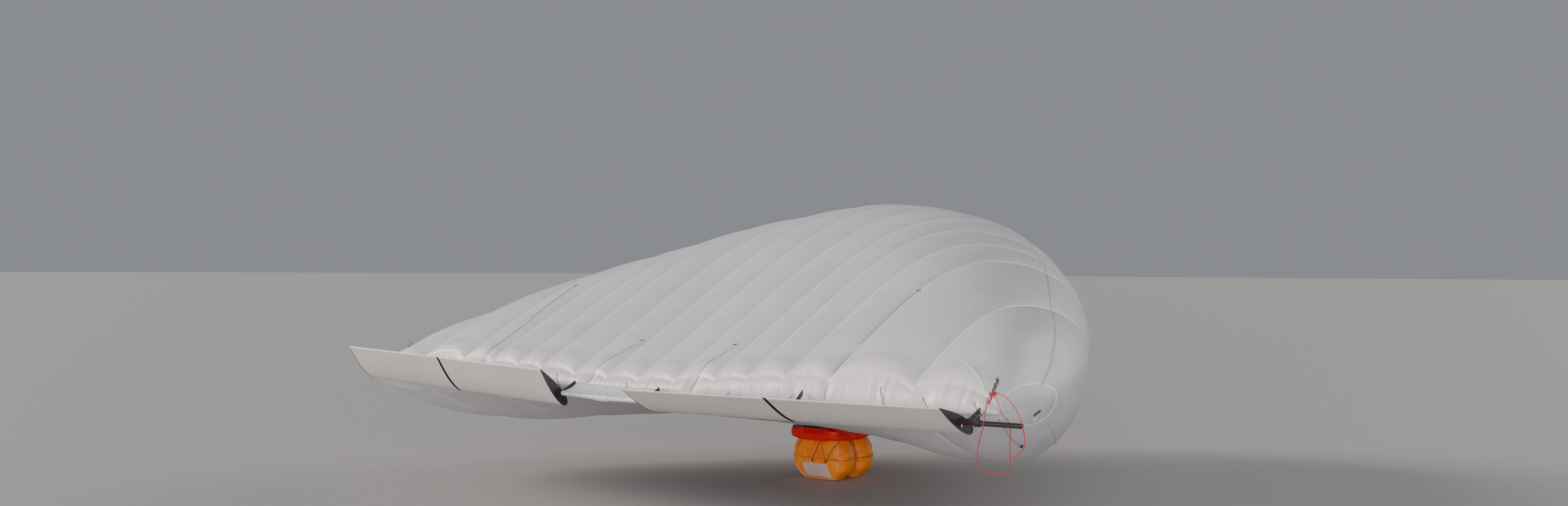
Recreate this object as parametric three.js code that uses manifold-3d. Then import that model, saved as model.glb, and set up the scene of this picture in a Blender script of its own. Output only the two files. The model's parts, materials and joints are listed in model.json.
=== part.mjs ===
// Remote-controlled lifting-body airship, parked on its landing cushion.
// Millimetres. X to starboard, Y forward, Z up. The origin is on the ground under the middle of the craft.
import * as THREE from "three";
import * as BufferGeometryUtils from "three/addons/utils/BufferGeometryUtils.js";
import Module from "manifold-3d";

const wasm = await Module();
wasm.setup();

// Driving dimensions
const SEAM = 0.3; // gap kept between touching pieces
const CENTRE_X = -105; // the craft's centreline; the starboard tube end stands out further than the port one
const HINGE_Y = -2470; // the flap hinge line, measured from the middle of the craft
const HINGE_Z = 775; // hinge height on the centreline
const HINGE_RISE = 0.0235; // the hinge line rises this much per millimetre of span
const SKIN = 10; // envelope wall
const NOSE_WALL = 30; // wall of the nose strip on the centreline; it falls to the envelope's wall at the tips
const LOBE = 0.065; // how far a lobe stands out, as a part of its bay's width

// Envelope sections on the starboard side, one row a rib; Y is measured from the hinge line.
// x, tail top z, tail slope deg, crest y, crest z, nose y, nose z, belly y, belly z, upper seam deg, belly slope deg
const SECTIONS = [
  [0, 885, 27, 3250, 2120, 5120, 1330, 2400, 500, 36, 15],
  [150, 887, 27, 3240, 2115, 5100, 1330, 2400, 500, 36, 15],
  [470, 900, 27, 3130, 2062, 4940, 1300, 2350, 500, 36, 15],
  [812, 931, 27, 2880, 1985, 4620, 1260, 2250, 500, 36, 16],
  [1078, 950, 27, 2580, 1885, 4250, 1230, 2100, 495, 35, 17],
  [1375, 970, 27, 2270, 1775, 3790, 1200, 1880, 490, 34, 18],
  [1705, 983, 29, 1930, 1655, 3210, 1160, 1620, 490, 32, 21],
  [2270, 963, 31, 1270, 1385, 2140, 1070, 1180, 500, 26, 30],
  [2560, 945, 34, 880, 1225, 1520, 1010, 860, 590, 26, 32],
  [2730, 920, 36, 600, 1085, 1060, 960, 640, 700, 26, 34],
  [2800, 905, 38, 450, 1000, 740, 925, 480, 800, 26, 36],
];
const RIBS = SECTIONS.map((row) => row[0]);
const TIP = RIBS[RIBS.length - 1];
const BAY_STEPS = 3; // span steps in each bay
const PORT_DROOP = 130; // the port tip of the envelope hangs this much lower than the starboard one
const DROOP_POWER = 1.6;
const TAIL_TOP_Y = 140; // tail edge of the upper skin, forward of the hinge line
const TAIL_LOW_Y = 152; // tail edge of the lower skin
const TAIL_LOW_RISE = 22; // tail edge of the lower skin above the hinge line
const TAIL_PUFF = 26; // how far the tail strip stands out behind its edges

// Main stays, by span and by how far forward of the hinge line their patches are
const STAYS = {
  outer_port: { x: -1545, reach: 1090 },
  inner_port: { x: -240, reach: 525 },
  inner_starboard: { x: 680, reach: 470 },
  outer_starboard: { x: 1705, reach: 1030 },
};
const STAY = { r: 1.5, sides: 6, clear: 0.5, end: 0.7 }; // end: part of the tail strip's height that is left

// Flaps, all-moving about the tail tube
const FLAP_CHORD = 335;
const FLAP_THICK = 70;
const FLAP_PIVOT = 0.31; // of the chord, from the nose
const FLAP_DROP = 10; // chord line under the tube's axis
const FLAP_BORE = 13.5; // in the end plates
const FLAP_WALL = 3.5;
const FLAP_HOLLOW = 0.8; // part of the stretch behind the tube that is hollow
const TAIL_EDGE = 2.4; // thickness of a flap's trailing edge
const FLAP_SPANS = { inner: [418, 1543], outer: [1561, 2688] }; // starboard x of the two ends
const FLAP_REST_DEG = { starboard: 24.5, port: 47 }; // trailing edge up
const END_PLATE = 3;
const PLATE_LIP = 1.5; // how far an end plate stands out past the flap's skin

// Tail tube and its brackets
const TUBE_R = 13;
const TUBE_END = { starboard: 3022, port: 2724 };
const TUBE_SLEEVE = { half: 386, thick: 4, overJoiner: 72 };
const COLLAR = { x: 2772, half: 15, r: 19 };
const JOINER_HALF = 60;
const JOINER_R = 17;
const BRACKET_X = { inner: 396, middle: 1552, outer: 2712 };
const BRACKET_T = 5;

// Landing cushion under the keel
const CUSHION_Y = 2262; // middle of the aft bag, forward of the hinge line
const BAG_DEPTH = 228;
const BAG_HEIGHT = 334;
const BAG_HALF = { ground: 140, middle: 258, top: 190 };
const PAD = { x: 250, y0: 2100, y1: 2620, z0: BAG_HEIGHT + SEAM, z1: 408 };
const KEEL = { x: 150, y0: 2040, y1: 3300, z0: PAD.z1 + SEAM, z1: PAD.z1 + SEAM + 6 };
const PAYLOAD_LAND = { x: 130, y0: 2680, y1: 3140, drop: 3 }; // flat for a tray, under the keel plate
const BATTERY = { x: 60, y0: 2640, y1: 2900, h: 36 };
const RECEIVER = { x: 50, y0: 2060, y1: 2200, h: 30 };
const SADDLE = { x: 45, length: 140 };
const SADDLE_Y = { aft: 2330, forward: 3040 };

// Two motors on a cross boom in front of the cushion
const BOOM = { y: 3200, r: 8 };
const MOTOR = { x: 450, r: 18, length: 78, behind: 37 };
const PROP = { r: 112, hub: 12, chord: 24, thick: 3 };
// reach and chord as parts of the propeller's, and pitch in degrees
const BLADE = [
  [0.04, 0.7, 40],
  [0.25, 1, 30],
  [0.6, 0.9, 20],
  [0.9, 0.6, 14],
  [1, 0.25, 12],
];

// Sleeves that the gas is let in by, one at each tip: span and way round of the foot, and the top from the foot
const SLEEVES = {
  starboard: { x: 2738, u: 0.12, top: [8, 40, 96], r: 13 },
  port: { x: -2660, u: 0.3, top: [-16, 78, 88], r: 12 },
};
const SLEEVE_FOOT = 14; // straight stretch out of the skin

// Rope tied round the foot of the starboard gas sleeve; each loop is a run of points on the craft
const ROPE = { r: 2.5, sides: 8 };
// Two turns of rope round the foot of the sleeve: radius and height up the sleeve
const KNOT = [[8.9, 7], [11.5, 7], [14, 9.5], [12.6, 12.3], [14, 15], [11.5, 17.2], [8.9, 17.2], [8.9, 7]];
const ROPE_LOOPS = {
  long: {
    steps: 64,
    points: [
      [2741.1, 173.7, 961.6], [2743, 165, 959.4], [2750, 140, 958], [2763, 108, 954], [2786, 54, 924],
      [2804, 14, 890], [2814, -10, 862], [2816, -16.4, 840], [2809, -17, 815], [2796, -15, 775], [2783, -12, 725],
      [2774, -8, 680], [2779, -4, 645], [2799, 0, 615], [2835, 2, 600], [2875, 4, 598],
      [2915, 7, 603], [2941, 10, 625], [2948, 12, 665], [2946, 14, 715], [2944, 17, 765],
      [2946, 17, 810], [2945, 16.4, 842], [2930, 20, 862], [2906, 28, 877], [2886, 40, 893],
      [2864, 56, 914], [2840, 80, 934], [2812, 108, 951], [2784, 138, 961], [2760, 162, 963], [2747.4, 176.6, 962.2],
    ],
  },
  short: {
    steps: 36,
    points: [
      [2751.7, 180.7, 968.7], [2760, 177, 968], [2785, 160, 978], [2850, 110, 976], [2890, 84, 964],
      [2930, 60, 945], [2965, 36, 922], [2995, 12, 896], [3018, -8, 872], [3032, -18, 846],
      [3042, -19, 815], [3046, -17, 780], [3040, -13, 752], [3023, -7, 728], [3000, 0, 708],
      [2976, 6, 694], [2954, 11, 688],
    ],
  },
};

const COLOURS = {
  film: 0xd9d7dc,
  flap: 0xe6e0dc,
  carbon: 0x17171a,
  orange: 0xf08412,
  red: 0xc81414,
  sleeve: 0x9c9a9e,
  rope: 0xd6303a,
  cord: 0x3a383c,
  foam: 0xd8d4cc,
  battery: 0x2c3a66,
};
const ROUGHNESS = { film: 0.35, flap: 0.45, carbon: 0.35, orange: 0.5, red: 0.5, sleeve: 0.4, rope: 0.8,
  cord: 0.8, foam: 0.9, battery: 0.5 };

const airship = new THREE.Group();
const rad = THREE.MathUtils.degToRad;

function add(name, geometry, finish, parent = airship) {
  const material = new THREE.MeshStandardMaterial({
    color: COLOURS[finish],
    roughness: ROUGHNESS[finish],
    metalness: 0,
  });
  const mesh = new THREE.Mesh(geometry, material);
  mesh.name = name;
  parent.add(mesh);
  return mesh;
}

// Turns a list of corner points and faces into a closed body that faces out
function solid(points, faces) {
  let volume = 0;
  for (const [a, b, c] of faces) {
    volume += points[a].dot(points[b].clone().cross(points[c]));
  }
  const order = volume < 0 ? faces.map(([a, b, c]) => [a, c, b]) : faces;
  const geometry = new THREE.BufferGeometry();
  geometry.setAttribute("position", new THREE.Float32BufferAttribute(points.flatMap((p) => p.toArray()), 3));
  geometry.setIndex(order.flat());
  return geometry;
}

// A wall between two matching nets of points: outer[row][column] and inner[row][column]
function wall(outer, inner) {
  const rows = outer.length;
  const columns = outer[0].length;
  const points = [...outer.flat(), ...inner.flat()];
  const at = (side, i, j) => (side * rows + i) * columns + j;
  const faces = [];
  const quad = (a, b, c, d) => faces.push([a, b, c], [a, c, d]);
  for (let i = 0; i + 1 < rows; i++) {
    for (let j = 0; j + 1 < columns; j++) {
      quad(at(0, i, j), at(0, i, j + 1), at(0, i + 1, j + 1), at(0, i + 1, j));
      quad(at(1, i, j), at(1, i + 1, j), at(1, i + 1, j + 1), at(1, i, j + 1));
    }
  }
  for (let j = 0; j + 1 < columns; j++) {
    quad(at(0, 0, j), at(1, 0, j), at(1, 0, j + 1), at(0, 0, j + 1));
    quad(at(0, rows - 1, j), at(0, rows - 1, j + 1), at(1, rows - 1, j + 1), at(1, rows - 1, j));
  }
  for (let i = 0; i + 1 < rows; i++) {
    quad(at(0, i, 0), at(0, i + 1, 0), at(1, i + 1, 0), at(1, i, 0));
    quad(at(0, i, columns - 1), at(1, i, columns - 1), at(1, i + 1, columns - 1), at(0, i + 1, columns - 1));
  }
  return solid(points, faces);
}

// A closed body through a row of rings with the same number of points
function loft(rings) {
  const count = rings[0].length;
  const points = rings.flat();
  const faces = [];
  for (let i = 0; i + 1 < rings.length; i++) {
    for (let j = 0; j < count; j++) {
      const a = i * count + j;
      const b = i * count + ((j + 1) % count);
      faces.push([a, b, b + count], [a, b + count, a + count]);
    }
  }
  for (let j = 1; j + 1 < count; j++) {
    const last = (rings.length - 1) * count;
    faces.push([0, j + 1, j], [last, last + j, last + j + 1]);
  }
  return solid(points, faces);
}

function box(x0, x1, y0, y1, z0, z1) {
  const geometry = new THREE.BoxGeometry(x1 - x0, y1 - y0, z1 - z0);
  return geometry.translate((x0 + x1) / 2 + CENTRE_X, (y0 + y1) / 2 + HINGE_Y, (z0 + z1) / 2);
}

// A round rod between two points
function rod(from, to, radius, sides = 16) {
  const length = from.distanceTo(to);
  const geometry = new THREE.CylinderGeometry(radius, radius, length, sides);
  const turn = new THREE.Quaternion().setFromUnitVectors(
    new THREE.Vector3(0, 1, 0),
    to.clone().sub(from).normalize(),
  );
  return geometry.applyQuaternion(turn).translate(...from.clone().add(to).multiplyScalar(0.5).toArray());
}

// A mesh's geometry as a solid that can be joined and cut, and back
function toSolid(geometry) {
  const bare = geometry.clone();
  bare.deleteAttribute("normal");
  bare.deleteAttribute("uv");
  const merged = BufferGeometryUtils.mergeVertices(bare, 1e-4);
  return new wasm.Manifold(
    new wasm.Mesh({
      numProp: 3,
      vertProperties: merged.attributes.position.array,
      triVerts: new Uint32Array(merged.index.array),
    }),
  );
}
function toGeometry(body) {
  const mesh = body.getMesh();
  const geometry = new THREE.BufferGeometry();
  geometry.setAttribute("position", new THREE.BufferAttribute(new Float32Array(mesh.vertProperties), 3));
  geometry.setIndex(new THREE.BufferAttribute(new Uint32Array(mesh.triVerts), 1));
  return geometry;
}

// Points of a circle with none of them twice, anticlockwise, and a round hole, which runs the other way
function circle(radius, sides) {
  const turn = (i) => (2 * Math.PI * i) / sides;
  const point = (i) => new THREE.Vector2(radius * Math.cos(turn(i)), radius * Math.sin(turn(i)));
  return Array.from({ length: sides }, (_, i) => point(i));
}
const roundHole = (radius, sides = 24) => new THREE.Path(circle(radius, sides).reverse());

// Height of the hinge line at a span station
const hingeZ = (x) => HINGE_Z + HINGE_RISE * Math.abs(x);

// Point on the craft from span, distance forward of the hinge line, and height
const place = (x, y, z) => new THREE.Vector3(x + CENTRE_X, y + HINGE_Y, z);

// Envelope

// A column of the section table at any span station, through a smooth curve
function column(index, x) {
  const span = Math.abs(x);
  let k = 0;
  while (k + 2 < RIBS.length && span > RIBS[k + 1]) {
    k++;
  }
  const value = (i) => SECTIONS[Math.min(Math.max(i, 0), RIBS.length - 1)][index];
  const station = (i) => (i < 0 ? -RIBS[1] : RIBS[Math.min(i, RIBS.length - 1)]);
  const width = RIBS[k + 1] - RIBS[k];
  const t = (span - RIBS[k]) / width;
  const slope = (i) => {
    const before = i === 0 ? value(1) : value(i - 1);
    const run = station(i + 1) - station(i - 1);
    return run > 0 ? (value(i + 1) - before) / run : 0;
  };
  const t2 = t * t;
  const t3 = t2 * t;
  return (2 * t3 - 3 * t2 + 1) * value(k) + (t3 - 2 * t2 + t) * width * slope(k)
    + (3 * t2 - 2 * t3) * value(k + 1) + (t3 - t2) * width * slope(k + 1);
}

// How far the envelope hangs below its even shape at a span station
function droop(x) {
  return PORT_DROOP * Math.max(0, -x / TIP) ** DROOP_POWER;
}

// How far the lobe stands out at a span station: nothing on a rib
function lobe(x) {
  const span = Math.abs(x);
  if (span < RIBS[1]) {
    const across = span / RIBS[1];
    return LOBE * 2 * RIBS[1] * (1 - across * across);
  }
  let k = 1;
  while (k + 2 < RIBS.length && span > RIBS[k + 1]) {
    k++;
  }
  const width = RIBS[k + 1] - RIBS[k];
  const t = (span - RIBS[k]) / width;
  return LOBE * width * 4 * t * (1 - t);
}

const bezier = (p, t) => {
  const s = 1 - t;
  const mix = (a) => s * s * s * p[0][a] + 3 * s * s * t * p[1][a] + 3 * s * t * t * p[2][a] + t * t * t * p[3][a];
  return [mix(0), mix(1)];
};

// Point of the bare section, y and z, by stretch name and part of the way along it
function sectionPoint(x, stretch, t) {
  const get = (index) => column(index, x);
  const tail = [TAIL_TOP_Y, get(1)];
  const crest = [get(3), get(4)];
  const nose = [get(5), get(6)];
  const belly = [get(7), get(8)];
  const tailLow = [TAIL_LOW_Y, hingeZ(x) + TAIL_LOW_RISE];
  if (stretch === "upper") {
    const reach = (crest[0] - tail[0]) * 0.4;
    const slope = rad(get(2));
    const lift = [tail[0] + reach * Math.cos(slope), tail[1] + reach * Math.sin(slope)];
    return bezier([tail, lift, [crest[0] - reach, crest[1]], crest], t);
  }
  if (stretch === "nose") {
    const angle = t * Math.PI;
    const low = angle > Math.PI / 2;
    const middle = low ? belly : crest;
    const y = middle[0] + (nose[0] - middle[0]) * Math.sin(angle);
    return [y, nose[1] + Math.abs(middle[1] - nose[1]) * Math.cos(angle)];
  }
  if (stretch === "lower") {
    const reach = (belly[0] - tailLow[0]) * 0.38;
    const slope = rad(get(10));
    const drop = [tailLow[0] + reach * Math.cos(slope), tailLow[1] - reach * Math.sin(slope)];
    return bezier([belly, [belly[0] - reach, belly[1]], drop, tailLow], t);
  }
  const puff = Math.sin(t * Math.PI) * TAIL_PUFF;
  return [tailLow[0] + (tail[0] - tailLow[0]) * t - puff, tailLow[1] + (tail[1] - tailLow[1]) * t];
}

// The section as one way round, from the tail edge over the crest, nose and belly back to the tail
const AROUND = [
  ["upper", 0, 1],
  ["nose", 1, 2],
  ["lower", 2, 3],
  ["tail", 3, 4],
];
function outline(x, u) {
  const [stretch, from] = AROUND.find(([, , to]) => u <= to) ?? AROUND[3];
  return sectionPoint(x, stretch, u - from);
}

// Outer or inner surface point; depth is measured inwards from the ribs' line
function skinPoint(x, u, depth) {
  const step = 0.01;
  const [y0, z0] = outline(x, (u - step + 4) % 4);
  const [y1, z1] = outline(x, (u + step) % 4);
  const [y, z] = outline(x, u);
  const length = Math.hypot(y1 - y0, z1 - z0);
  const out = [-(z1 - z0) / length, (y1 - y0) / length];
  const fade = u < 3 ? Math.min(1, u / 0.12, (3 - u) / 0.25) : 0.25;
  const stand = lobe(x) * Math.max(fade, 0.25) - depth;
  return place(x, y + out[0] * stand, z + out[1] * stand - droop(x));
}

// Seam between the upper skin and the nose strip, and its match below, as ways round the section
const upperSeam = (x) => 1 + column(9, x) / 180;
const lowerSeam = (x) => 2 - column(9, x) / 180;

// Ways round, evenly spaced between two seams, kept clear of both by half a gap
function ways(x, from, to, steps) {
  const count = Array.from({ length: steps + 1 }, (_, i) => from + ((to - from) * i) / steps);
  const nudge = (u, v) => {
    const a = skinPoint(x, u, 0);
    const b = skinPoint(x, v, 0);
    return u + ((v - u) * SEAM * 0.6) / a.distanceTo(b);
  };
  count[0] = nudge(count[0], count[1]);
  count[steps] = nudge(count[steps], count[steps - 1]);
  return count;
}

// Span stations from one rib to another, with the seam gap at both ends
function stations(from, to) {
  const list = [];
  const ribs = [...RIBS.map((x) => -x).reverse(), ...RIBS].filter((x, i, all) => all.indexOf(x) === i && x !== 0);
  ribs.forEach((x, i) => {
    if (i + 1 < ribs.length && x >= from && ribs[i + 1] <= to) {
      for (let k = 0; k < BAY_STEPS; k++) {
        list.push(x + ((ribs[i + 1] - x) * k) / BAY_STEPS);
      }
    }
  });
  const inside = list.filter((x) => x > from && x < to);
  return [from + SEAM / 2, ...inside, to - SEAM / 2];
}

function skinPanel(xs, { range, steps, thick }) {
  const net = (part) => xs.map((x) =>
    ways(x, ...range(x), steps).map((u) => skinPoint(x, u, part * thick(x))));
  return wall(net(0), net(1));
}

const SPAN_CUT = 812; // rib where the centre panels meet the side panels
const PANEL_SPANS = {
  port: [-TIP, -SPAN_CUT],
  centre: [-SPAN_CUT, SPAN_CUT],
  starboard: [SPAN_CUT, TIP],
};
const even = () => SKIN;
const noseWall = (x) => NOSE_WALL + (SKIN - NOSE_WALL) * (Math.abs(x) / TIP);
const PANELS = {
  upper_skin: { range: (x) => [0, upperSeam(x)], steps: 10, thick: even },
  nose_strip: { range: (x) => [upperSeam(x), lowerSeam(x)], steps: 8, thick: noseWall },
  lower_skin: { range: (x) => [lowerSeam(x), 3], steps: 8, thick: even },
  tail_strip: { range: () => [3, 4], steps: 4, thick: even },
};
for (const [panel, form] of Object.entries(PANELS)) {
  for (const [side, [from, to]] of Object.entries(PANEL_SPANS)) {
    add(panel + "_" + side, skinPanel(stations(from, to), form), "film");
  }
}

// Main stays: cords down the upper skin from their patches, over the tail seam and onto the tail strip

// Where a span station crosses the facets of a panel's net: the line of net points j, and the diagonal above it
function crossings(panel, x) {
  const [from, to] = Object.values(PANEL_SPANS).find(([a, b]) => x > a && x < b);
  const xs = stations(from, to);
  const k = xs.findIndex((station) => station > x);
  const t = (x - xs[k - 1]) / (xs[k] - xs[k - 1]);
  const { range, steps } = PANELS[panel];
  const [near, far] = [xs[k - 1], xs[k]].map((station) =>
    ways(station, ...range(station), steps).map((u) => skinPoint(station, u, 0)));
  return near.flatMap((p, j) => {
    const line = p.clone().lerp(far[j], t);
    return t > 0 && j < steps ? [line, p.clone().lerp(far[j + 1], t)] : [line];
  });
}

function stayLine({ x, reach }) {
  const down = crossings("upper_skin", x).reverse();
  const k = down.findIndex((p) => p.y < reach + HINGE_Y);
  const [above, below] = [down[k - 1], down[k]];
  const patch = above.clone().lerp(below, (above.y - reach - HINGE_Y) / (above.y - below.y));
  const strip = crossings("tail_strip", x).reverse();
  const end = strip.findIndex((p) => p.z < strip[0].z * STAY.end + strip[strip.length - 1].z * (1 - STAY.end));
  return [patch, ...down.slice(k), ...strip.slice(1, end)];
}

function stay(size) {
  const line = stayLine(size);
  const across = new THREE.Vector3(1, 0, 0);
  const out = line.slice(1).map((p, i) => across.clone().cross(p.clone().sub(line[i])).normalize().negate());
  const rings = line.map((p, i) => {
    const [before, after] = [out[Math.max(i - 1, 0)], out[Math.min(i, out.length - 1)]];
    const mitre = before.clone().add(after).normalize();
    mitre.divideScalar(mitre.dot(before));
    const middle = p.clone().addScaledVector(mitre, STAY.r + STAY.clear);
    return circle(STAY.r, STAY.sides).map((c) =>
      middle.clone().addScaledVector(across, c.x).addScaledVector(mitre, c.y));
  });
  return loft(rings);
}
for (const [name, size] of Object.entries(STAYS)) {
  add("stay_" + name, stay(size), "cord");
}

// Tip panels close the two ends of the envelope
for (const [side, sign] of [["port", -1], ["starboard", 1]]) {
  const turns = Array.from({ length: 24 }, (_, i) => (4 * i) / 24);
  const ring = (x) => turns.map((u) => skinPoint(sign * TIP, u, 0).setX(sign * x + CENTRE_X));
  const middle = ring(TIP).reduce((sum, p) => sum.add(p), new THREE.Vector3()).divideScalar(turns.length);
  const dome = (x, keep) => ring(x).map((p) => p.lerp(middle.clone().setX(sign * x + CENTRE_X), 1 - keep));
  add("tip_panel_" + side, loft([dome(TIP, 1), dome(TIP + 8, 0.97), dome(TIP + 22, 0.7)]), "film");
}

// Tail tube

for (const [side, sign] of [["port", -1], ["starboard", 1]]) {
  const from = place(sign * (JOINER_HALF + SEAM), 0, hingeZ(JOINER_HALF));
  const to = place(sign * TUBE_END[side], 0, hingeZ(TUBE_END[side]));
  add("tail_tube_" + side, rod(from, to, TUBE_R), "carbon");
}
const joinerZ = hingeZ(JOINER_HALF);
add("tube_joiner", rod(place(-JOINER_HALF, 0, joinerZ), place(JOINER_HALF, 0, joinerZ), JOINER_R), "carbon");

// Fabric sleeve that joins the tail of the envelope to the tube in the gap between the inner flaps
function tubeSleeve() {
  const { half, overJoiner } = TUBE_SLEEVE;
  const shared = stations(-SPAN_CUT, SPAN_CUT).filter((x) => Math.abs(x) < half - 1);
  const spans = [-half, ...shared, -overJoiner, overJoiner, half].sort((a, b) => a - b);
  const net = (lift) => spans.map((x) => {
    const seat = skinPoint(x, 3.5, 0);
    const low = Math.abs(x) <= overJoiner ? JOINER_R : TUBE_R + 2;
    const tube = place(x, 0, hingeZ(x) + low + SEAM);
    const from = seat.clone().setY(seat.y - SEAM);
    const middle = from.clone().lerp(tube, 0.6).setZ(tube.z + 14);
    return [from, middle, tube, tube.clone().add(new THREE.Vector3(0, -14, 2))].map((p, i) =>
      p.clone().setZ(p.z + lift));
  });
  return wall(net(TUBE_SLEEVE.thick), net(0));
}
add("tube_sleeve", tubeSleeve(), "film");

// A clamp ring on the tube
function collar(x) {
  const ring = new THREE.Shape(circle(COLLAR.r, 16));
  ring.holes.push(roundHole(TUBE_R + SEAM));
  const body = new THREE.ExtrudeGeometry(ring, { depth: 2 * COLLAR.half, bevelEnabled: false });
  const lean = -Math.sign(x) * Math.atan(HINGE_RISE);
  body.translate(0, 0, -COLLAR.half).rotateY(Math.PI / 2 + lean);
  return body.translate(x + CENTRE_X, HINGE_Y, hingeZ(x));
}

// Plates that carry the tube on the tail of the envelope
function bracket(x) {
  const z = hingeZ(x);
  const seat = skinPoint(x, 3.5, 0);
  const seatY = seat.y - HINGE_Y - SEAM;
  const seatZ = seat.z - z;
  const shape = new THREE.Shape();
  const eye = TUBE_R + 9;
  shape.absarc(0, 0, eye, rad(60), rad(330), false);
  shape.lineTo(seatY, seatZ - 14);
  shape.lineTo(seatY, seatZ + 14);
  shape.closePath();
  shape.holes.push(roundHole(TUBE_R + SEAM));
  const plate = new THREE.ExtrudeGeometry(shape, { depth: BRACKET_T, bevelEnabled: false, curveSegments: 12 });
  const axes = new THREE.Matrix4().makeBasis(
    new THREE.Vector3(0, 1, 0),
    new THREE.Vector3(0, 0, 1),
    new THREE.Vector3(1, 0, 0),
  );
  return plate.applyMatrix4(axes).translate(x - BRACKET_T / 2 + CENTRE_X, HINGE_Y, z);
}
for (const [side, sign] of [["port", -1], ["starboard", 1]]) {
  if (TUBE_END[side] > COLLAR.x) {
    add("tube_collar_" + side, collar(sign * COLLAR.x), "carbon");
  }
}
for (const [where, x] of Object.entries(BRACKET_X)) {
  add("bracket_" + where + "_port", bracket(-x), "carbon");
  add("bracket_" + where + "_starboard", bracket(x), "carbon");
}

// Flaps

// Outlines in the flap's own plane, by how far they reach each way from the tube's axis
const FLAP_NOSE = FLAP_CHORD * FLAP_PIVOT;
const FLAP_TAIL = FLAP_NOSE - FLAP_CHORD;
const FLAP_OUTLINES = {
  skin: { nose: FLAP_NOSE, tail: FLAP_TAIL, half: FLAP_THICK / 2 },
  inside: { nose: FLAP_NOSE - FLAP_WALL, tail: FLAP_TAIL * FLAP_HOLLOW, half: FLAP_THICK / 2 - FLAP_WALL },
  plate: { nose: FLAP_NOSE + PLATE_LIP, tail: FLAP_TAIL - PLATE_LIP, half: FLAP_THICK / 2 + PLATE_LIP },
};

// Points of an aerofoil, none twice, anticlockwise from the tail along the bottom
function aerofoil({ nose, tail, half }) {
  const path = new THREE.Path();
  const top = half - FLAP_DROP;
  const bottom = -half - FLAP_DROP;
  path.moveTo(tail, -FLAP_DROP - TAIL_EDGE / 2);
  path.bezierCurveTo(tail * 0.35, bottom, tail * 0.1, bottom, 0, bottom);
  path.bezierCurveTo(nose * 0.7, bottom, nose, -half * 0.6 - FLAP_DROP, nose, -FLAP_DROP);
  path.bezierCurveTo(nose, half * 0.6 - FLAP_DROP, nose * 0.7, top, 0, top);
  path.bezierCurveTo(tail * 0.1, top, tail * 0.35, top, tail, -FLAP_DROP + TAIL_EDGE / 2);
  return path.getPoints(7);
}
const FLAP_SHAPES = {
  skin: [aerofoil(FLAP_OUTLINES.skin), new THREE.Path(aerofoil(FLAP_OUTLINES.inside).reverse())],
  plate: [aerofoil(FLAP_OUTLINES.plate), roundHole(FLAP_BORE)],
};

// Extrudes one of the flap's shapes from one distance along the span to another, in the hinge line's frame
function flapStretch(kind, from, to) {
  const [outside, hole] = FLAP_SHAPES[kind];
  const shape = new THREE.Shape(outside);
  shape.holes.push(hole);
  const body = new THREE.ExtrudeGeometry(shape, { depth: to - from, bevelEnabled: false });
  const axes = new THREE.Matrix4().makeBasis(
    new THREE.Vector3(0, 1, 0),
    new THREE.Vector3(0, 0, 1),
    new THREE.Vector3(1, 0, 0),
  );
  return body.applyMatrix4(axes).translate(from, 0, 0);
}

for (const [side, sign] of [["port", -1], ["starboard", 1]]) {
  const hinge = new THREE.Group();
  hinge.position.copy(place(0, 0, HINGE_Z));
  hinge.rotation.y = -sign * Math.atan(HINGE_RISE);
  const turned = new THREE.Group();
  turned.rotation.x = -rad(FLAP_REST_DEG[side]);
  hinge.add(turned);
  airship.add(hinge);
  for (const [where, ends] of Object.entries(FLAP_SPANS)) {
    const [from, to] = ends.map((x) => sign * x).sort((a, b) => a - b);
    const name = "flap_" + where + "_" + side;
    add(name, flapStretch("skin", from + END_PLATE + SEAM, to - END_PLATE - SEAM), "flap", turned);
    add(name + "_plate_a", flapStretch("plate", from, from + END_PLATE), "carbon", turned);
    add(name + "_plate_b", flapStretch("plate", to - END_PLATE, to), "carbon", turned);
  }
}

// Landing cushion

// Eight-sided outline of a bag seen from behind, x and z
function bagOutline(keep) {
  const { ground, middle, top } = BAG_HALF;
  const h = BAG_HEIGHT;
  const corners = [
    [ground, 0], [middle * 0.9, h * 0.24], [middle, h * 0.5], [middle * 0.92, h * 0.74], [top, h],
    [-top, h], [-middle * 0.92, h * 0.74], [-middle, h * 0.5], [-middle * 0.9, h * 0.24], [-ground, 0],
  ];
  return corners.map(([x, z]) => [x * keep, h / 2 + (z - h / 2) * keep]);
}
function bag(y) {
  const half = BAG_DEPTH / 2 - SEAM / 2;
  const rings = [[-half, 0.74], [-half * 0.55, 1], [half * 0.55, 1], [half, 0.74]];
  return loft(rings.map(([dy, keep]) => bagOutline(keep).map(([x, z]) => place(x, y + dy, z))));
}
add("landing_bag_aft", bag(CUSHION_Y), "orange");
add("landing_bag_forward", bag(CUSHION_Y + BAG_DEPTH), "orange");
add("landing_pad", box(-PAD.x, PAD.x, PAD.y0, PAD.y1, PAD.z0, PAD.z1), "red");

const keelPlate = box(-KEEL.x, KEEL.x, KEEL.y0, KEEL.y1, KEEL.z0, KEEL.z1);
const { x: landX, y0: landY0, y1: landY1, drop } = PAYLOAD_LAND;
const land = box(-landX, landX, landY0, landY1, KEEL.z0 - drop, KEEL.z0 + 1);
add("keel_plate", toGeometry(toSolid(keelPlate).add(toSolid(land))), "carbon");

function onKeel({ x, y0, y1, h }) {
  return box(-x, x, y0, y1, KEEL.z1 + SEAM, KEEL.z1 + SEAM + h);
}
add("battery", onKeel(BATTERY), "battery");
add("control_box", onKeel(RECEIVER), "carbon");

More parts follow.
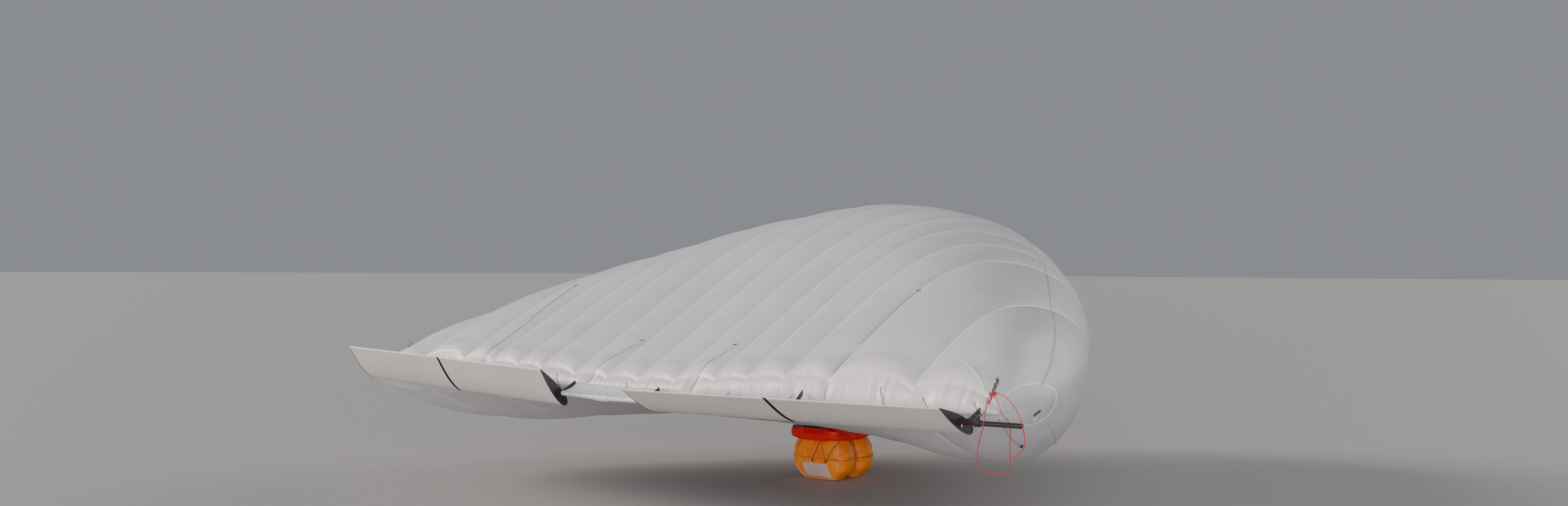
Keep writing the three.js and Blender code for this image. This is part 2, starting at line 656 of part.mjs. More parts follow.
// Height of the faceted belly along the keel at a distance forward of the hinge line
function bellyZ(y) {
  const x = RIBS[1] / BAY_STEPS;
  const { range, steps } = PANELS.lower_skin;
  const points = ways(x, ...range(x), steps).map((u) => skinPoint(x, u, 0));
  const k = points.findIndex((p) => p.y < y + HINGE_Y);
  const [ahead, behind] = [points[k - 1], points[k]];
  return THREE.MathUtils.mapLinear(y + HINGE_Y, behind.y, ahead.y, behind.z, ahead.z);
}
for (const [where, y] of Object.entries(SADDLE_Y)) {
  const top = Math.min(bellyZ(y), bellyZ(y + SADDLE.length)) - SEAM;
  add("belly_saddle_" + where, box(-SADDLE.x, SADDLE.x, y, y + SADDLE.length, KEEL.z1 + SEAM, top), "foam");
}

// Motors and propellers

const boomZ = KEEL.z0 - SEAM - BOOM.r;
add(
  "motor_boom",
  rod(place(-MOTOR.x + MOTOR.r + SEAM, BOOM.y, boomZ), place(MOTOR.x - MOTOR.r - SEAM, BOOM.y, boomZ), BOOM.r),
  "carbon",
);
function motor(x) {
  const profile = [[0, 0], [0.6, 2], [1, 14], [1, 60], [0.75, 70], [0.35, MOTOR.length], [0, MOTOR.length]];
  const points = profile.map(([r, y]) => new THREE.Vector2(r * MOTOR.r, y));
  const body = new THREE.LatheGeometry(points, 16);
  body.rotateY(Math.PI / 16);
  return body.translate(x + CENTRE_X, BOOM.y + HINGE_Y - MOTOR.behind, boomZ);
}

// A two-bladed propeller, its blades twisted from root to tip, joined to its hub
function propeller(x, turnDeg) {
  const profile = [[0, -2], [1, 0], [1, 10], [0.7, 20], [0, 26]];
  const hub = new THREE.LatheGeometry(profile.map(([r, h]) => new THREE.Vector2(r * PROP.hub, h)), 12);
  let body = toSolid(hub);
  for (const turn of [0, Math.PI]) {
    const rings = BLADE.map(([reach, chord, pitch]) => {
      const c = (chord * PROP.chord) / 2;
      const t = PROP.thick / 2;
      const around = [[-c, 0], [-c / 3, -t], [c, 0], [-c / 3, t]];
      const [sin, cos] = [Math.sin(rad(pitch)), Math.cos(rad(pitch))];
      return around.map(([a, b]) => new THREE.Vector3(reach * PROP.r, 6 + a * sin + b * cos, a * cos - b * sin));
    });
    body = body.add(toSolid(loft(rings).rotateY(turn)));
  }
  const geometry = toGeometry(body).rotateY(rad(turnDeg));
  return geometry.translate(x + CENTRE_X, BOOM.y - MOTOR.behind + MOTOR.length + 2.4 + HINGE_Y, boomZ);
}
for (const [side, sign] of [["port", -1], ["starboard", 1]]) {
  add("motor_" + side, motor(sign * MOTOR.x), "carbon");
  add("propeller_" + side, propeller(sign * MOTOR.x, 20 * sign), "carbon");
}

// Sleeves

const SLEEVE_GIRTH = [0.45, 0.5, 0.9, 1, 0.95, 0.6]; // of the radius, evenly spaced from the foot up
function sleevePath({ x, u, top }) {
  const foot = skinPoint(x, u, 0);
  const out = foot.clone().sub(skinPoint(x, u, 1));
  const end = foot.clone().add(new THREE.Vector3(...top));
  return new THREE.CatmullRomCurve3([
    foot.clone().addScaledVector(out, SEAM),
    foot.clone().addScaledVector(out, SLEEVE_FOOT),
    foot.clone().lerp(end, 0.6),
    end,
  ]);
}
// Where a sleeve's neck starts and which way its first stretch runs
function sleeveFoot(size) {
  const path = sleevePath(size);
  const foot = path.getPointAt(0);
  const neck = path.getPointAt(1 / (SLEEVE_GIRTH.length - 1)).sub(foot).normalize();
  return { foot, neck };
}
function sleeve(size) {
  const path = sleevePath(size);
  const last = SLEEVE_GIRTH.length - 1;
  const frames = path.computeFrenetFrames(last, false);
  const rings = SLEEVE_GIRTH.map((part, i) => {
    const centre = path.getPointAt(i / last);
    return circle(part * size.r, 8).map((q) =>
      centre.clone().addScaledVector(frames.normals[i], q.x).addScaledVector(frames.binormals[i], q.y));
  });
  return loft(rings);
}
for (const [side, size] of Object.entries(SLEEVES)) {
  add("gas_sleeve_" + side, sleeve(size), "sleeve");
}

// Rope

function loop({ points, steps }) {
  const path = new THREE.CatmullRomCurve3(points.map((p) => place(...p)), false, "centripetal");
  const section = new THREE.Shape(circle(ROPE.r, ROPE.sides));
  return new THREE.ExtrudeGeometry(section, { steps, extrudePath: path });
}
for (const [name, route] of Object.entries(ROPE_LOOPS)) {
  add("rope_" + name + "_loop", loop(route), "rope");
}
const { foot, neck } = sleeveFoot(SLEEVES.starboard);
const knot = new THREE.LatheGeometry(KNOT.map(([r, h]) => new THREE.Vector2(r, h)), 12);
knot.applyQuaternion(new THREE.Quaternion().setFromUnitVectors(new THREE.Vector3(0, 1, 0), neck));
add("rope_knot", knot.translate(...foot.toArray()), "rope");

export default airship;
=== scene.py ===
"""Looks of a remote-controlled lifting-body airship parked on its landing cushion.

Metres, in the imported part's frame: X to starboard, Y forward, Z up, floor at Z = 0.
"""
import json
import math

import bmesh
import bpy
import numpy as np
from mathutils import Matrix, Vector
from mathutils.bvhtree import BVHTree


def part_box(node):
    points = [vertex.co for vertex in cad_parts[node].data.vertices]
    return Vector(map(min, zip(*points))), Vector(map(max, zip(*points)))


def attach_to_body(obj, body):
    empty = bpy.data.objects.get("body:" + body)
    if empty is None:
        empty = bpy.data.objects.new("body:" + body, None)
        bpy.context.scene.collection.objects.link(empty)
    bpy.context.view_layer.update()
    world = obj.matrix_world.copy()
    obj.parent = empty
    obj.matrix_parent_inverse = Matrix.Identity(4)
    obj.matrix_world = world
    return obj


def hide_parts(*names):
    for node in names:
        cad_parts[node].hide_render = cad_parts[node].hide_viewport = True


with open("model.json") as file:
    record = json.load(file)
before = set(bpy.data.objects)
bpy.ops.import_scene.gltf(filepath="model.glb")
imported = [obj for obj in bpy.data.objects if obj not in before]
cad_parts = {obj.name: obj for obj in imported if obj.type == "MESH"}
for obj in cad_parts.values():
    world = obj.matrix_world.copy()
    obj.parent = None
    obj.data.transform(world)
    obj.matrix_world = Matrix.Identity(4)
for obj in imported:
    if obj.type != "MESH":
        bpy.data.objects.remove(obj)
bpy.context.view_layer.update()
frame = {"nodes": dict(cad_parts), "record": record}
scene = bpy.context.scene
rad = math.radians

# Driving dimensions, as in the part
CENTRE_X = -0.105
HINGE_Y = -2.470
HINGE_Z = 0.775
HINGE_RISE = 0.0235
LOBE = 0.065
PORT_DROOP = 0.130
DROOP_POWER = 1.6
TAIL_TOP_Y = 0.140
TAIL_LOW_Y = 0.152
TAIL_LOW_RISE = 0.022
SPAN_CUT = 0.812
# span, tail top z, tail slope deg, crest y, crest z, nose y, nose z, belly y, belly z,
# seam deg, belly slope deg
SECTIONS = np.array([
    [0.000, 0.885, 27, 3.250, 2.120, 5.120, 1.330, 2.400, 0.500, 36, 15],
    [0.150, 0.887, 27, 3.240, 2.115, 5.100, 1.330, 2.400, 0.500, 36, 15],
    [0.470, 0.900, 27, 3.130, 2.062, 4.940, 1.300, 2.350, 0.500, 36, 15],
    [0.812, 0.931, 27, 2.880, 1.985, 4.620, 1.260, 2.250, 0.500, 36, 16],
    [1.078, 0.950, 27, 2.580, 1.885, 4.250, 1.230, 2.100, 0.495, 35, 17],
    [1.375, 0.970, 27, 2.270, 1.775, 3.790, 1.200, 1.880, 0.490, 34, 18],
    [1.705, 0.983, 29, 1.930, 1.655, 3.210, 1.160, 1.620, 0.490, 32, 21],
    [2.270, 0.963, 31, 1.270, 1.385, 2.140, 1.070, 1.180, 0.500, 26, 30],
    [2.560, 0.945, 34, 0.880, 1.225, 1.520, 1.010, 0.860, 0.590, 26, 32],
    [2.730, 0.920, 36, 0.600, 1.085, 1.060, 0.960, 0.640, 0.700, 26, 34],
    [2.800, 0.905, 38, 0.450, 1.000, 0.740, 0.925, 0.480, 0.800, 26, 36],
])
STATIONS = SECTIONS[:, 0]
TIP = STATIONS[-1]
RIBS = np.array([0.150, 0.470, 0.812, 1.078, 1.375, 1.705, 2.270, TIP])
SIDES = {"port": -1, "starboard": 1}
TUBE_R = 0.013
GAP = 0.0003  # between touching pieces
PATCH_THICK = 0.0012  # of patches and of the film sleeve
ORIGIN = np.array([CENTRE_X, HINGE_Y, 0.0])  # of the craft's own axes: span, forward of the hinge line, up

# Camera at the photograph's viewpoint
CAMERA_AT = (6.0686, -7.9625, 1.5926)
CAMERA_YAW = rad(-40.354)
CAMERA_PITCH = rad(0.769)
CAMERA_ROLL = rad(0.298)
CAMERA_LENS = 29.57
SENSOR_WIDTH = 36


def link_object(name, data):
    obj = bpy.data.objects.new(name, data)
    scene.collection.objects.link(obj)
    return obj


def make_camera():
    ahead = Vector((
        math.sin(CAMERA_YAW) * math.cos(CAMERA_PITCH),
        math.cos(CAMERA_YAW) * math.cos(CAMERA_PITCH),
        math.sin(CAMERA_PITCH),
    ))
    level = Vector((math.cos(CAMERA_YAW), -math.sin(CAMERA_YAW), 0))
    over = level.cross(ahead)
    right = level * math.cos(CAMERA_ROLL) + over * math.sin(CAMERA_ROLL)
    up = right.cross(ahead)
    data = bpy.data.cameras.new("camera")
    data.lens = CAMERA_LENS
    data.sensor_width = SENSOR_WIDTH
    camera = link_object("camera", data)
    turn = Matrix((right, up, -ahead)).transposed()
    camera.matrix_world = Matrix.Translation(CAMERA_AT) @ turn.to_4x4()
    scene.camera = camera


make_camera()

# Materials


class Nodes:
    """A material's node tree, with short calls for the nodes used here."""

    def __init__(self, name, **sockets):
        self.material = bpy.data.materials.new(name)
        self.material.use_nodes = True
        self.tree = self.material.node_tree
        self.shader = self.tree.nodes["Principled BSDF"]
        self.place = self.add("ShaderNodeTexCoord").outputs["Object"]
        for key, value in sockets.items():
            self.shader.inputs[key.replace("_", " ")].default_value = value

    def add(self, kind, sockets=None, **settings):
        """A node; each of its sockets gets a value, or the socket that feeds it."""
        node = self.tree.nodes.new(kind)
        for key, value in settings.items():
            setattr(node, key, value)
        for key, value in (sockets or {}).items():
            if isinstance(value, bpy.types.NodeSocket):
                self.tree.links.new(value, node.inputs[key])
            else:
                node.inputs[key].default_value = value
        return node

    def noise(self, scale, detail, stretch=(1, 1, 1)):
        place = self.add("ShaderNodeMapping", {"Scale": stretch, "Vector": self.place}).outputs["Vector"]
        sockets = {"Scale": scale, "Detail": detail, "Vector": place}
        return self.add("ShaderNodeTexNoise", sockets).outputs["Fac"]

    def wave(self, scale, direction, distortion=0.0):
        sockets = {"Scale": scale, "Distortion": distortion, "Vector": self.place}
        return self.add("ShaderNodeTexWave", sockets, bands_direction=direction).outputs["Fac"]

    def attribute(self, name):
        return self.add("ShaderNodeAttribute", attribute_name=name).outputs["Fac"]

    def ramp(self, source, low, high, start=0.0, end=1.0):
        sockets = {"Value": source, "From Min": low, "From Max": high, "To Min": start, "To Max": end}
        return self.add("ShaderNodeMapRange", sockets).outputs["Result"]

    def product(self, a, b):
        return self.add("ShaderNodeMath", {0: a, 1: b}, operation="MULTIPLY").outputs["Value"]

    def mix(self, factor, *colours):
        """Two colours, each a socket or three numbers."""
        a, b = ((*colour, 1) if isinstance(colour, tuple) else colour for colour in colours)
        return self.add("ShaderNodeMix", {"Factor": factor, 6: a, 7: b}, data_type="RGBA").outputs[2]

    def mottle(self, scale, detail, low, high, *colours):
        return self.mix(self.ramp(self.noise(scale, detail), low, high), *colours)

    def colour(self, source):
        self.tree.links.new(source, self.shader.inputs["Base Color"])

    def roughness(self, scale, low, high, detail=4):
        patchy = self.ramp(self.noise(scale, detail), 0.3, 0.7, low, high)
        self.tree.links.new(patchy, self.shader.inputs["Roughness"])

    def bump(self, source, distance, strength):
        sockets = {"Distance": distance, "Strength": strength, "Height": source}
        before = self.shader.inputs["Normal"].links
        if before:
            sockets["Normal"] = before[0].from_socket
        node = self.add("ShaderNodeBump", sockets)
        self.tree.links.new(node.outputs["Normal"], self.shader.inputs["Normal"])


def darker(colour, part):
    return tuple(c * part for c in colour)


def film_material():
    m = Nodes("film", Coat_Weight=0.14, Coat_Roughness=0.38)
    pale = m.mottle(1.3, 4, 0.3, 0.7, (0.60, 0.59, 0.63), (0.68, 0.66, 0.68))
    dusty = m.mix(m.ramp(m.noise(9, 6), 0.45, 0.8, 0, 0.5), pale, (0.56, 0.53, 0.54))
    # Paler along each rib: seam tape, and a painted highlight along the rib creases
    rib_tape_and_highlight = m.mix(m.ramp(m.attribute("rib"), 0.004, 0.009, 0.9, 0), dusty, (0.93, 0.92, 0.92))
    # Warmer and paler near the tail seam: a painted warm highlight
    m.colour(m.mix(m.ramp(m.attribute("tail"), 0.02, 0.45, 0.55, 0), rib_tape_and_highlight, (0.86, 0.80, 0.77)))
    m.roughness(5, 0.40, 0.54, 3)
    m.bump(m.noise(26, 5, (1, 0.35, 1)), 0.0016, 0.5)
    m.bump(m.noise(140, 3), 0.0002, 0.5)
    return m.material


def flap_material():
    m = Nodes("flap_film", Coat_Weight=0.2, Coat_Roughness=0.3)
    base = m.mottle(2.1, 4, 0.3, 0.7, (0.74, 0.68, 0.65), (0.79, 0.74, 0.71))
    dusty = m.mix(m.ramp(m.noise(17, 6), 0.5, 0.85, 0, 0.35), base, (0.62, 0.55, 0.52))
    m.colour(m.mix(m.ramp(m.attribute("band"), 0.011, 0.013, 1, 0), dusty, (0.86, 0.84, 0.83)))
    m.roughness(7, 0.36, 0.5)
    m.bump(m.noise(11, 4, (1, 3, 3)), 0.0015, 0.4)
    m.bump(m.noise(180, 2), 0.0002, 0.5)
    return m.material


def carbon_material():
    m = Nodes("carbon", Coat_Weight=0.5, Coat_Roughness=0.12)
    weave = m.product(m.wave(180, "DIAGONAL"), m.wave(180, "Z"))
    m.colour(m.mix(m.ramp(weave, 0.1, 0.6), (0.012, 0.012, 0.014), (0.045, 0.045, 0.05)))
    m.roughness(40, 0.28, 0.45)
    m.bump(weave, 0.0002, 0.6)
    return m.material


def plastic_material(name, colour, roughness, speck=0.15):
    m = Nodes(name)
    m.colour(m.mottle(60, 5, 0.35, 0.7, darker(colour, 1 - speck), colour))
    m.roughness(25, roughness * 0.85, roughness * 1.2)
    m.bump(m.noise(420, 2), 0.0001, 0.5)
    return m.material


def cloth_material(name, colour, shade, gloss):
    m = Nodes(name, Coat_Weight=gloss, Coat_Roughness=0.35, Subsurface_Weight=0.35, Subsurface_Scale=0.05)
    base = m.mottle(6, 5, 0.35, 0.7, shade, colour)
    m.colour(m.mix(m.ramp(m.attribute("seam"), 0.0, 1.0, 0, 0.75), base, darker(shade, 0.55)))
    m.roughness(14, 0.42, 0.6)
    m.bump(m.noise(22, 5), 0.004, 0.35)
    m.bump(m.product(m.wave(260, "X"), m.wave(260, "Z")), 0.0002, 0.4)
    return m.material


def rope_material(name, colour, flecks):
    m = Nodes(name, Sheen_Weight=0.3, Roughness=0.75)
    braid = m.product(m.wave(95, "DIAGONAL", 1.5), m.wave(120, "Z", 1.0))
    m.colour(m.mix(m.ramp(braid, 0.2, 0.7), colour, flecks))
    m.bump(braid, 0.0012, 0.8)
    return m.material


def metal_material(name, colour, roughness):
    m = Nodes(name, Metallic=0.9)
    m.colour(m.mottle(90, 4, 0.3, 0.7, darker(colour, 0.75), colour))
    m.roughness(40, roughness * 0.8, roughness * 1.25)
    return m.material


def clear_material():
    m = Nodes("clear_film", Transmission_Weight=0.35, IOR=1.35, Coat_Weight=0.4, Coat_Roughness=0.15)
    milky = m.ramp(m.noise(45, 5, (1, 1, 0.25)), 0.40, 0.62)
    m.colour(m.mix(milky, (0.16, 0.16, 0.17), (0.55, 0.55, 0.57)))
    m.roughness(60, 0.22, 0.4)
    m.bump(m.noise(90, 5, (1, 0.4, 1)), 0.0015, 0.5)
    return m.material


FILM = film_material()
FLAP = flap_material()
CARBON = carbon_material()
CLEAR = clear_material()
ORANGE = cloth_material("orange_cloth", (1.0, 0.29, 0.0), (1.0, 0.21, 0.0), 0.04)
RED_CLOTH = cloth_material("red_cloth", (0.95, 0.010, 0.004), (0.85, 0.006, 0.002), 0.04)
PATCH = cloth_material("pale_patch", (0.82, 0.57, 0.47), (0.72, 0.46, 0.37), 0.05)
ROPE_RED = rope_material("red_rope", (0.50, 0.010, 0.018), (0.64, 0.06, 0.07))
CORD_GREY = rope_material("grey_cord", (0.10, 0.09, 0.10), (0.25, 0.23, 0.24))
CORD_WHITE = rope_material("white_cord", (0.80, 0.78, 0.77), (0.62, 0.60, 0.60))
CORD_BROWN = rope_material("brown_cord", (0.22, 0.10, 0.06), (0.40, 0.22, 0.15))
CORD_RUST = rope_material("rust_cord", (0.60, 0.12, 0.02), (0.78, 0.24, 0.05))
CORD_AMBER = rope_material("amber_seam", (0.95, 0.48, 0.20), (0.98, 0.66, 0.42))
CORD_PINK = rope_material("pink_cord", (0.72, 0.30, 0.30), (0.85, 0.62, 0.58))
CORD_WINE = rope_material("wine_cord", (0.42, 0.03, 0.05), (0.62, 0.20, 0.20))
WEBBING = rope_material("black_webbing", (0.02, 0.02, 0.022), (0.06, 0.06, 0.065))
BLACK = plastic_material("black_plastic", (0.03, 0.03, 0.033), 0.45)
WHITE = plastic_material("white_plastic", (0.82, 0.81, 0.80), 0.4, 0.06)
TAPE = plastic_material("white_tape", (0.86, 0.84, 0.84), 0.5, 0.08)
WINE_TAPE = plastic_material("wine_tape", (0.075, 0.010, 0.012), 0.5, 0.2)
ORANGE_PLASTIC = plastic_material("orange_plastic", (0.85, 0.30, 0.03), 0.45)
PROP_BLACK = plastic_material("propeller_nylon", (0.018, 0.018, 0.02), 0.35, 0.25)
FOAM = plastic_material("white_foam", (0.80, 0.80, 0.78), 0.85, 0.10)
BLUE_FILM = plastic_material("blue_shrink_film", (0.02, 0.09, 0.42), 0.28, 0.2)
STEEL = metal_material("steel", (0.62, 0.62, 0.64), 0.3)
GUNMETAL = metal_material("gunmetal", (0.10, 0.10, 0.11), 0.38)

# Places and curves


def craft_point(x, y, z):
    """A point given in the craft's own axes."""
    return np.array((x, y, z)) + ORIGIN


def craft_points(millimetres):
    return np.array(millimetres) / 1000 + ORIGIN


def circle(count):
    """Evenly spaced turns round a full circle."""
    return np.linspace(0, 2 * np.pi, count, endpoint=False)


def unit(vectors):
    return vectors / np.linalg.norm(vectors, axis=-1, keepdims=True)


def bump(distance, width):
    return np.exp(-((distance / width) ** 2))


def hermite(a, leave, b, arrive, t):
    """Cubic from a to b, with its slopes at the two ends."""
    return ((2 * t**3 - 3 * t**2 + 1) * a + (t**3 - 2 * t**2 + t) * leave
            + (3 * t**2 - 2 * t**3) * b + (t**3 - t**2) * arrive)


def bezier(a, b, c, d, t):
    s = 1 - t
    return s**3 * a + 3 * s * s * t * b + 3 * s * t * t * c + t**3 * d


def even(dense, steps):
    """Evenly spaced points along a dense path."""
    run = np.concatenate([[0], np.cumsum(np.linalg.norm(np.diff(dense, axis=0), axis=1))])
    wanted = np.linspace(0, run[-1], steps + 1)
    return np.stack([np.interp(wanted, run, dense[:, axis]) for axis in range(3)], 1)


def curve_path(points, steps):
    """Evenly spaced points on a smooth curve through the given ones."""
    p = np.asarray(points, float)
    knots = np.concatenate([[0], np.cumsum(np.sqrt(np.linalg.norm(np.diff(p, axis=0), axis=1)))])
    slopes = np.gradient(p, knots, axis=0)
    t = np.linspace(0, 1, 24, endpoint=False)[:, None]
    dense = [hermite(p[k], width * slopes[k], p[k + 1], width * slopes[k + 1], t)
             for k, width in enumerate(np.diff(knots))]
    return even(np.concatenate(dense + [p[-1:]]), steps)


def spline(points, steps):
    """Evenly spaced points on a centripetal Catmull-Rom curve, as the part's own routes are."""
    p = np.asarray(points, float)
    p = np.concatenate([[2 * p[0] - p[1]], p, [2 * p[-1] - p[-2]]])
    gaps = np.sqrt(np.linalg.norm(np.diff(p, axis=0), axis=1))
    t = np.linspace(0, 1, 40, endpoint=False)[:, None]
    dense = []
    for k in range(1, len(p) - 2):
        a, b, c = gaps[k - 1:k + 2]
        before, here, there, after = p[k - 1:k + 3]
        leave = ((here - before) / a - (there - before) / (a + b) + (there - here) / b) * b
        arrive = ((there - here) / b - (after - here) / (b + c) + (after - there) / c) * b
        dense.append(hermite(here, leave, there, arrive, t))
    return even(np.concatenate(dense + [p[-2:-1]]), steps)


# Meshes


def make_object(name, verts, faces, material, smooth=True):
    mesh = bpy.data.meshes.new(name)
    mesh.from_pydata([tuple(v) for v in verts], [], faces)
    mesh.update()
    mesh.polygons.foreach_set("use_smooth", [smooth] * len(mesh.polygons))
    mesh.materials.append(material)
    return link_object(name, mesh)


def grid_faces(rows, columns, close_rows=False, close_columns=False):
    """Quads over a net of points; a closed direction wraps round to its first line."""
    i, j = np.meshgrid(
        np.arange(rows if close_rows else rows - 1),
        np.arange(columns if close_columns else columns - 1),
        indexing="ij",
    )
    i2, j2 = (i + 1) % rows, (j + 1) % columns
    quads = np.stack([i * columns + j, i2 * columns + j, i2 * columns + j2, i * columns + j2], -1)
    return quads.reshape(-1, 4).tolist()


def net_object(name, points, material, flip=False, **closed):
    """One surface through points[row][column]."""
    points = np.asarray(points)
    faces = grid_faces(*points.shape[:2], **closed)
    if flip:
        faces = [face[::-1] for face in faces]
    return make_object(name, points.reshape(-1, 3), faces, material)


def capped_object(name, rings, material, smooth=True, smooth_caps=False):
    """A closed body through rings of points, capped at both ends."""
    rings = np.asarray(rings)
    count, sides = rings.shape[:2]
    faces = grid_faces(count, sides, close_columns=True)
    faces += [list(range(sides))[::-1], list(range((count - 1) * sides, count * sides))]
    obj = make_object(name, rings.reshape(-1, 3), faces, material, smooth)
    for cap in obj.data.polygons[-2:]:
        cap.use_smooth = smooth_caps
    return obj


def tube_object(name, path, radius, material, sides):
    """A closed tube along a path of points."""
    path = np.asarray(path, float)
    tangents = unit(np.gradient(path, axis=0))
    side = np.cross(tangents[0], (0.31, 0.17, 0.93))
    turn = circle(sides)[:, None]
    rings = []
    for point, tangent in zip(path, tangents):
        side = unit(side - tangent * side.dot(tangent))
        rings.append(point + radius * (np.cos(turn) * side + np.sin(turn) * np.cross(tangent, side)))
    return capped_object(name, rings, material)


def cord(name, points, steps, radius, material, sides=8):
    """A tube along a smooth curve through the given points."""
    return tube_object(name, curve_path(points, steps), radius, material, sides)


def torus_object(name, centre, axes, radius, thick, steps, material):
    """A ring in the plane of the first two axes; steps are the points round it and round its section."""
    across, up, out = axes
    rows = [[centre + (across * math.cos(a) + up * math.sin(a)) * (radius + thick * math.cos(b))
             + out * (thick * math.sin(b)) for b in circle(steps[1])] for a in circle(steps[0])]
    return net_object(name, rows, material, close_rows=True, close_columns=True)


def mend(obj):
    """Joins points that coincide and turns the faces outwards."""
    body = bmesh.new()
    body.from_mesh(obj.data)
    bmesh.ops.remove_doubles(body, verts=body.verts, dist=1e-6)
    bmesh.ops.recalc_face_normals(body, faces=body.faces)
    body.to_mesh(obj.data)
    body.free()
    return obj


def from_bmesh(name, body, material):
    bmesh.ops.recalc_face_normals(body, faces=body.faces)
    mesh = bpy.data.meshes.new(name)
    body.to_mesh(mesh)
    body.free()
    mesh.materials.append(material)
    return link_object(name, mesh)


def block(name, low, high, soft, material):
    """A box with rounded edges."""
    body = bmesh.new()
    bmesh.ops.create_cube(body, size=1)
    low, high = Vector(low), Vector(high)
    bmesh.ops.scale(body, vec=high - low, verts=body.verts)
    bmesh.ops.translate(body, vec=(low + high) / 2, verts=body.verts)
    bmesh.ops.bevel(body, geom=body.edges[:], offset=soft, segments=3, profile=0.5, affect="EDGES")
    obj = from_bmesh(name, body, material)
    for face in obj.data.polygons:
        face.use_smooth = face.area < 1e-4
    return obj


def craft_block(name, x_ends, y_ends, z_ends, soft, material):
    low, high = zip(x_ends, y_ends, z_ends)
    return block(name, craft_point(*low), craft_point(*high), soft, material)


def thicken(obj, thickness):
    modifier = obj.modifiers.new("thick", "SOLIDIFY")
    modifier.thickness = thickness
    modifier.offset = 0
    return obj


def sharpen(obj, angle=40):
    obj.data.set_sharp_from_angle(angle=rad(angle))
    return obj


def placed(obj, matrix):
    """Moves the mesh itself, so that the object stays at the origin."""
    obj.data.transform(matrix)
    obj.data.update()
    return obj


def join(name, parts):
    """Joins meshes into one object."""
    bpy.ops.object.select_all(action="DESELECT")
    for part in parts:
        part.select_set(True)
    bpy.context.view_layer.objects.active = parts[0]
    if len(parts) > 1:
        bpy.ops.object.join()
    parts[0].name = name
    parts[0].data.name = name
    return parts[0]


def attach(obj, name, values):
    """Gives each point of the mesh a number, for its material."""
    layer = obj.data.attributes.new(name, "FLOAT", "POINT")
    layer.data.foreach_set("value", np.ascontiguousarray(values, np.float32).ravel())


def settle(obj, body="craft", *nodes, slot=None):
    """The piece rides on a body and stands for CAD nodes, which it hides; slot is not used."""
    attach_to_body(obj, body)
    if nodes:
        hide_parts(*nodes)
    return obj


# Envelope


def column(index, x):
    """A column of the section table at span stations, through a smooth curve."""
    span = np.abs(x)
    k = np.clip(np.searchsorted(STATIONS, span, side="right") - 1, 0, len(STATIONS) - 2)
    table = SECTIONS[:, index]
    before = np.concatenate([[table[1]], table[:-1]])
    after = np.concatenate([table[1:], table[-1:]])
    run = np.concatenate([STATIONS[1:], [TIP]]) - np.concatenate([[-STATIONS[1]], STATIONS[:-1]])
    slope = (after - before) / run
    width = STATIONS[k + 1] - STATIONS[k]
    t = (span - STATIONS[k]) / width
    return hermite(table[k], width * slope[k], table[k + 1], width * slope[k + 1], t)


def bay(x):
    """Part of the way across the bay that holds each station, and the bay's width."""
    span = np.abs(x)
    k = np.clip(np.searchsorted(RIBS, span, side="right") - 1, 0, len(RIBS) - 2)
    middle = span < RIBS[0]
    start = np.where(middle, -RIBS[0], RIBS[k])
    width = np.where(middle, 2 * RIBS[0], RIBS[k + 1] - RIBS[k])
    return (np.where(middle, x, span) - start) / width, width


def arch(x):
    """Rises from 0 at the ribs to 1 in the middle of each bay; also the bay's width."""
    t, width = bay(x)
    return np.clip(4 * t * (1 - t), 0, 1), width


def lobe(x):
    """How far the film stands out between two ribs; the last bay runs into the tip with no crease."""
    t, width = bay(x)
    by_tip = (np.abs(x) > RIBS[-2]) & (t > 0.5)
    return LOBE * width * (4 * t * (1 - t)) ** np.where(by_tip, 1.0, 0.72)


def droop(x):
    return PORT_DROOP * np.maximum(0, -x / TIP) ** DROOP_POWER


def hinge_z(x):
    return HINGE_Z + HINGE_RISE * np.abs(x)


def outline(x, u):
    """Bare section, y forward of the hinge line and z, at stations x and ways round u: tail 0, crest 1,
    belly 2, tail 3."""
    top_z, slope, crest_y, crest_z, nose_y, nose_z, belly_y, belly_z = (column(i, x) for i in range(1, 9))
    slope, low_slope = np.radians(slope), np.radians(column(10, x))
    low_z = hinge_z(x) + TAIL_LOW_RISE
    reach = (crest_y - TAIL_TOP_Y) * 0.4
    upper = (bezier(TAIL_TOP_Y, TAIL_TOP_Y + reach * np.cos(slope), crest_y - reach, crest_y, u),
             bezier(top_z, top_z + reach * np.sin(slope), crest_z, crest_z, u))
    angle = (u - 1) * np.pi
    low = angle > np.pi / 2
    middle_y, middle_z = np.where(low, belly_y, crest_y), np.where(low, belly_z, crest_z)
    nose = (middle_y + (nose_y - middle_y) * np.sin(angle),
            nose_z + np.abs(middle_z - nose_z) * np.cos(angle))
    reach = (belly_y - TAIL_LOW_Y) * 0.38
    lower = (bezier(belly_y, belly_y - reach, TAIL_LOW_Y + reach * np.cos(low_slope), TAIL_LOW_Y, u - 2),
             bezier(belly_z, belly_z, low_z - reach * np.sin(low_slope), low_z, u - 2))
    return [np.where(u <= 1, a, np.where(u <= 2, b, c)) for a, b, c in zip(upper, nose, lower)]


def section(x, u):
    """Bare section and the way out of it, both as y and z."""
    (y0, z0), (y1, z1) = (outline(x, np.clip(u + step, 0, 3)) for step in (-0.01, 0.01))
    length = np.hypot(y1 - y0, z1 - z0)
    return *outline(x, u), (z0 - z1) / length, (y1 - y0) / length


def skin(x, u, lift=0.0):
    """Points of the envelope's outside at stations x and ways round u (0 to 3), and the way out there."""
    x, u = np.broadcast_arrays(np.asarray(x, float), np.asarray(u, float))
    y, z, out_y, out_z = section(x, u)
    fade = np.clip(np.minimum(u / 0.05, (3 - u) / 0.12), 0.3, 1)
    stand = lobe(x) * fade + lift
    points = np.stack([x, y + out_y * stand, z + out_z * stand - droop(x)], -1) + ORIGIN
    return points, np.stack([np.zeros_like(out_y), out_y, out_z], -1)


def upper_seam(x):
    return 1 + column(9, x) / 180


def lower_seam(x):
    return 2 - column(9, x) / 180


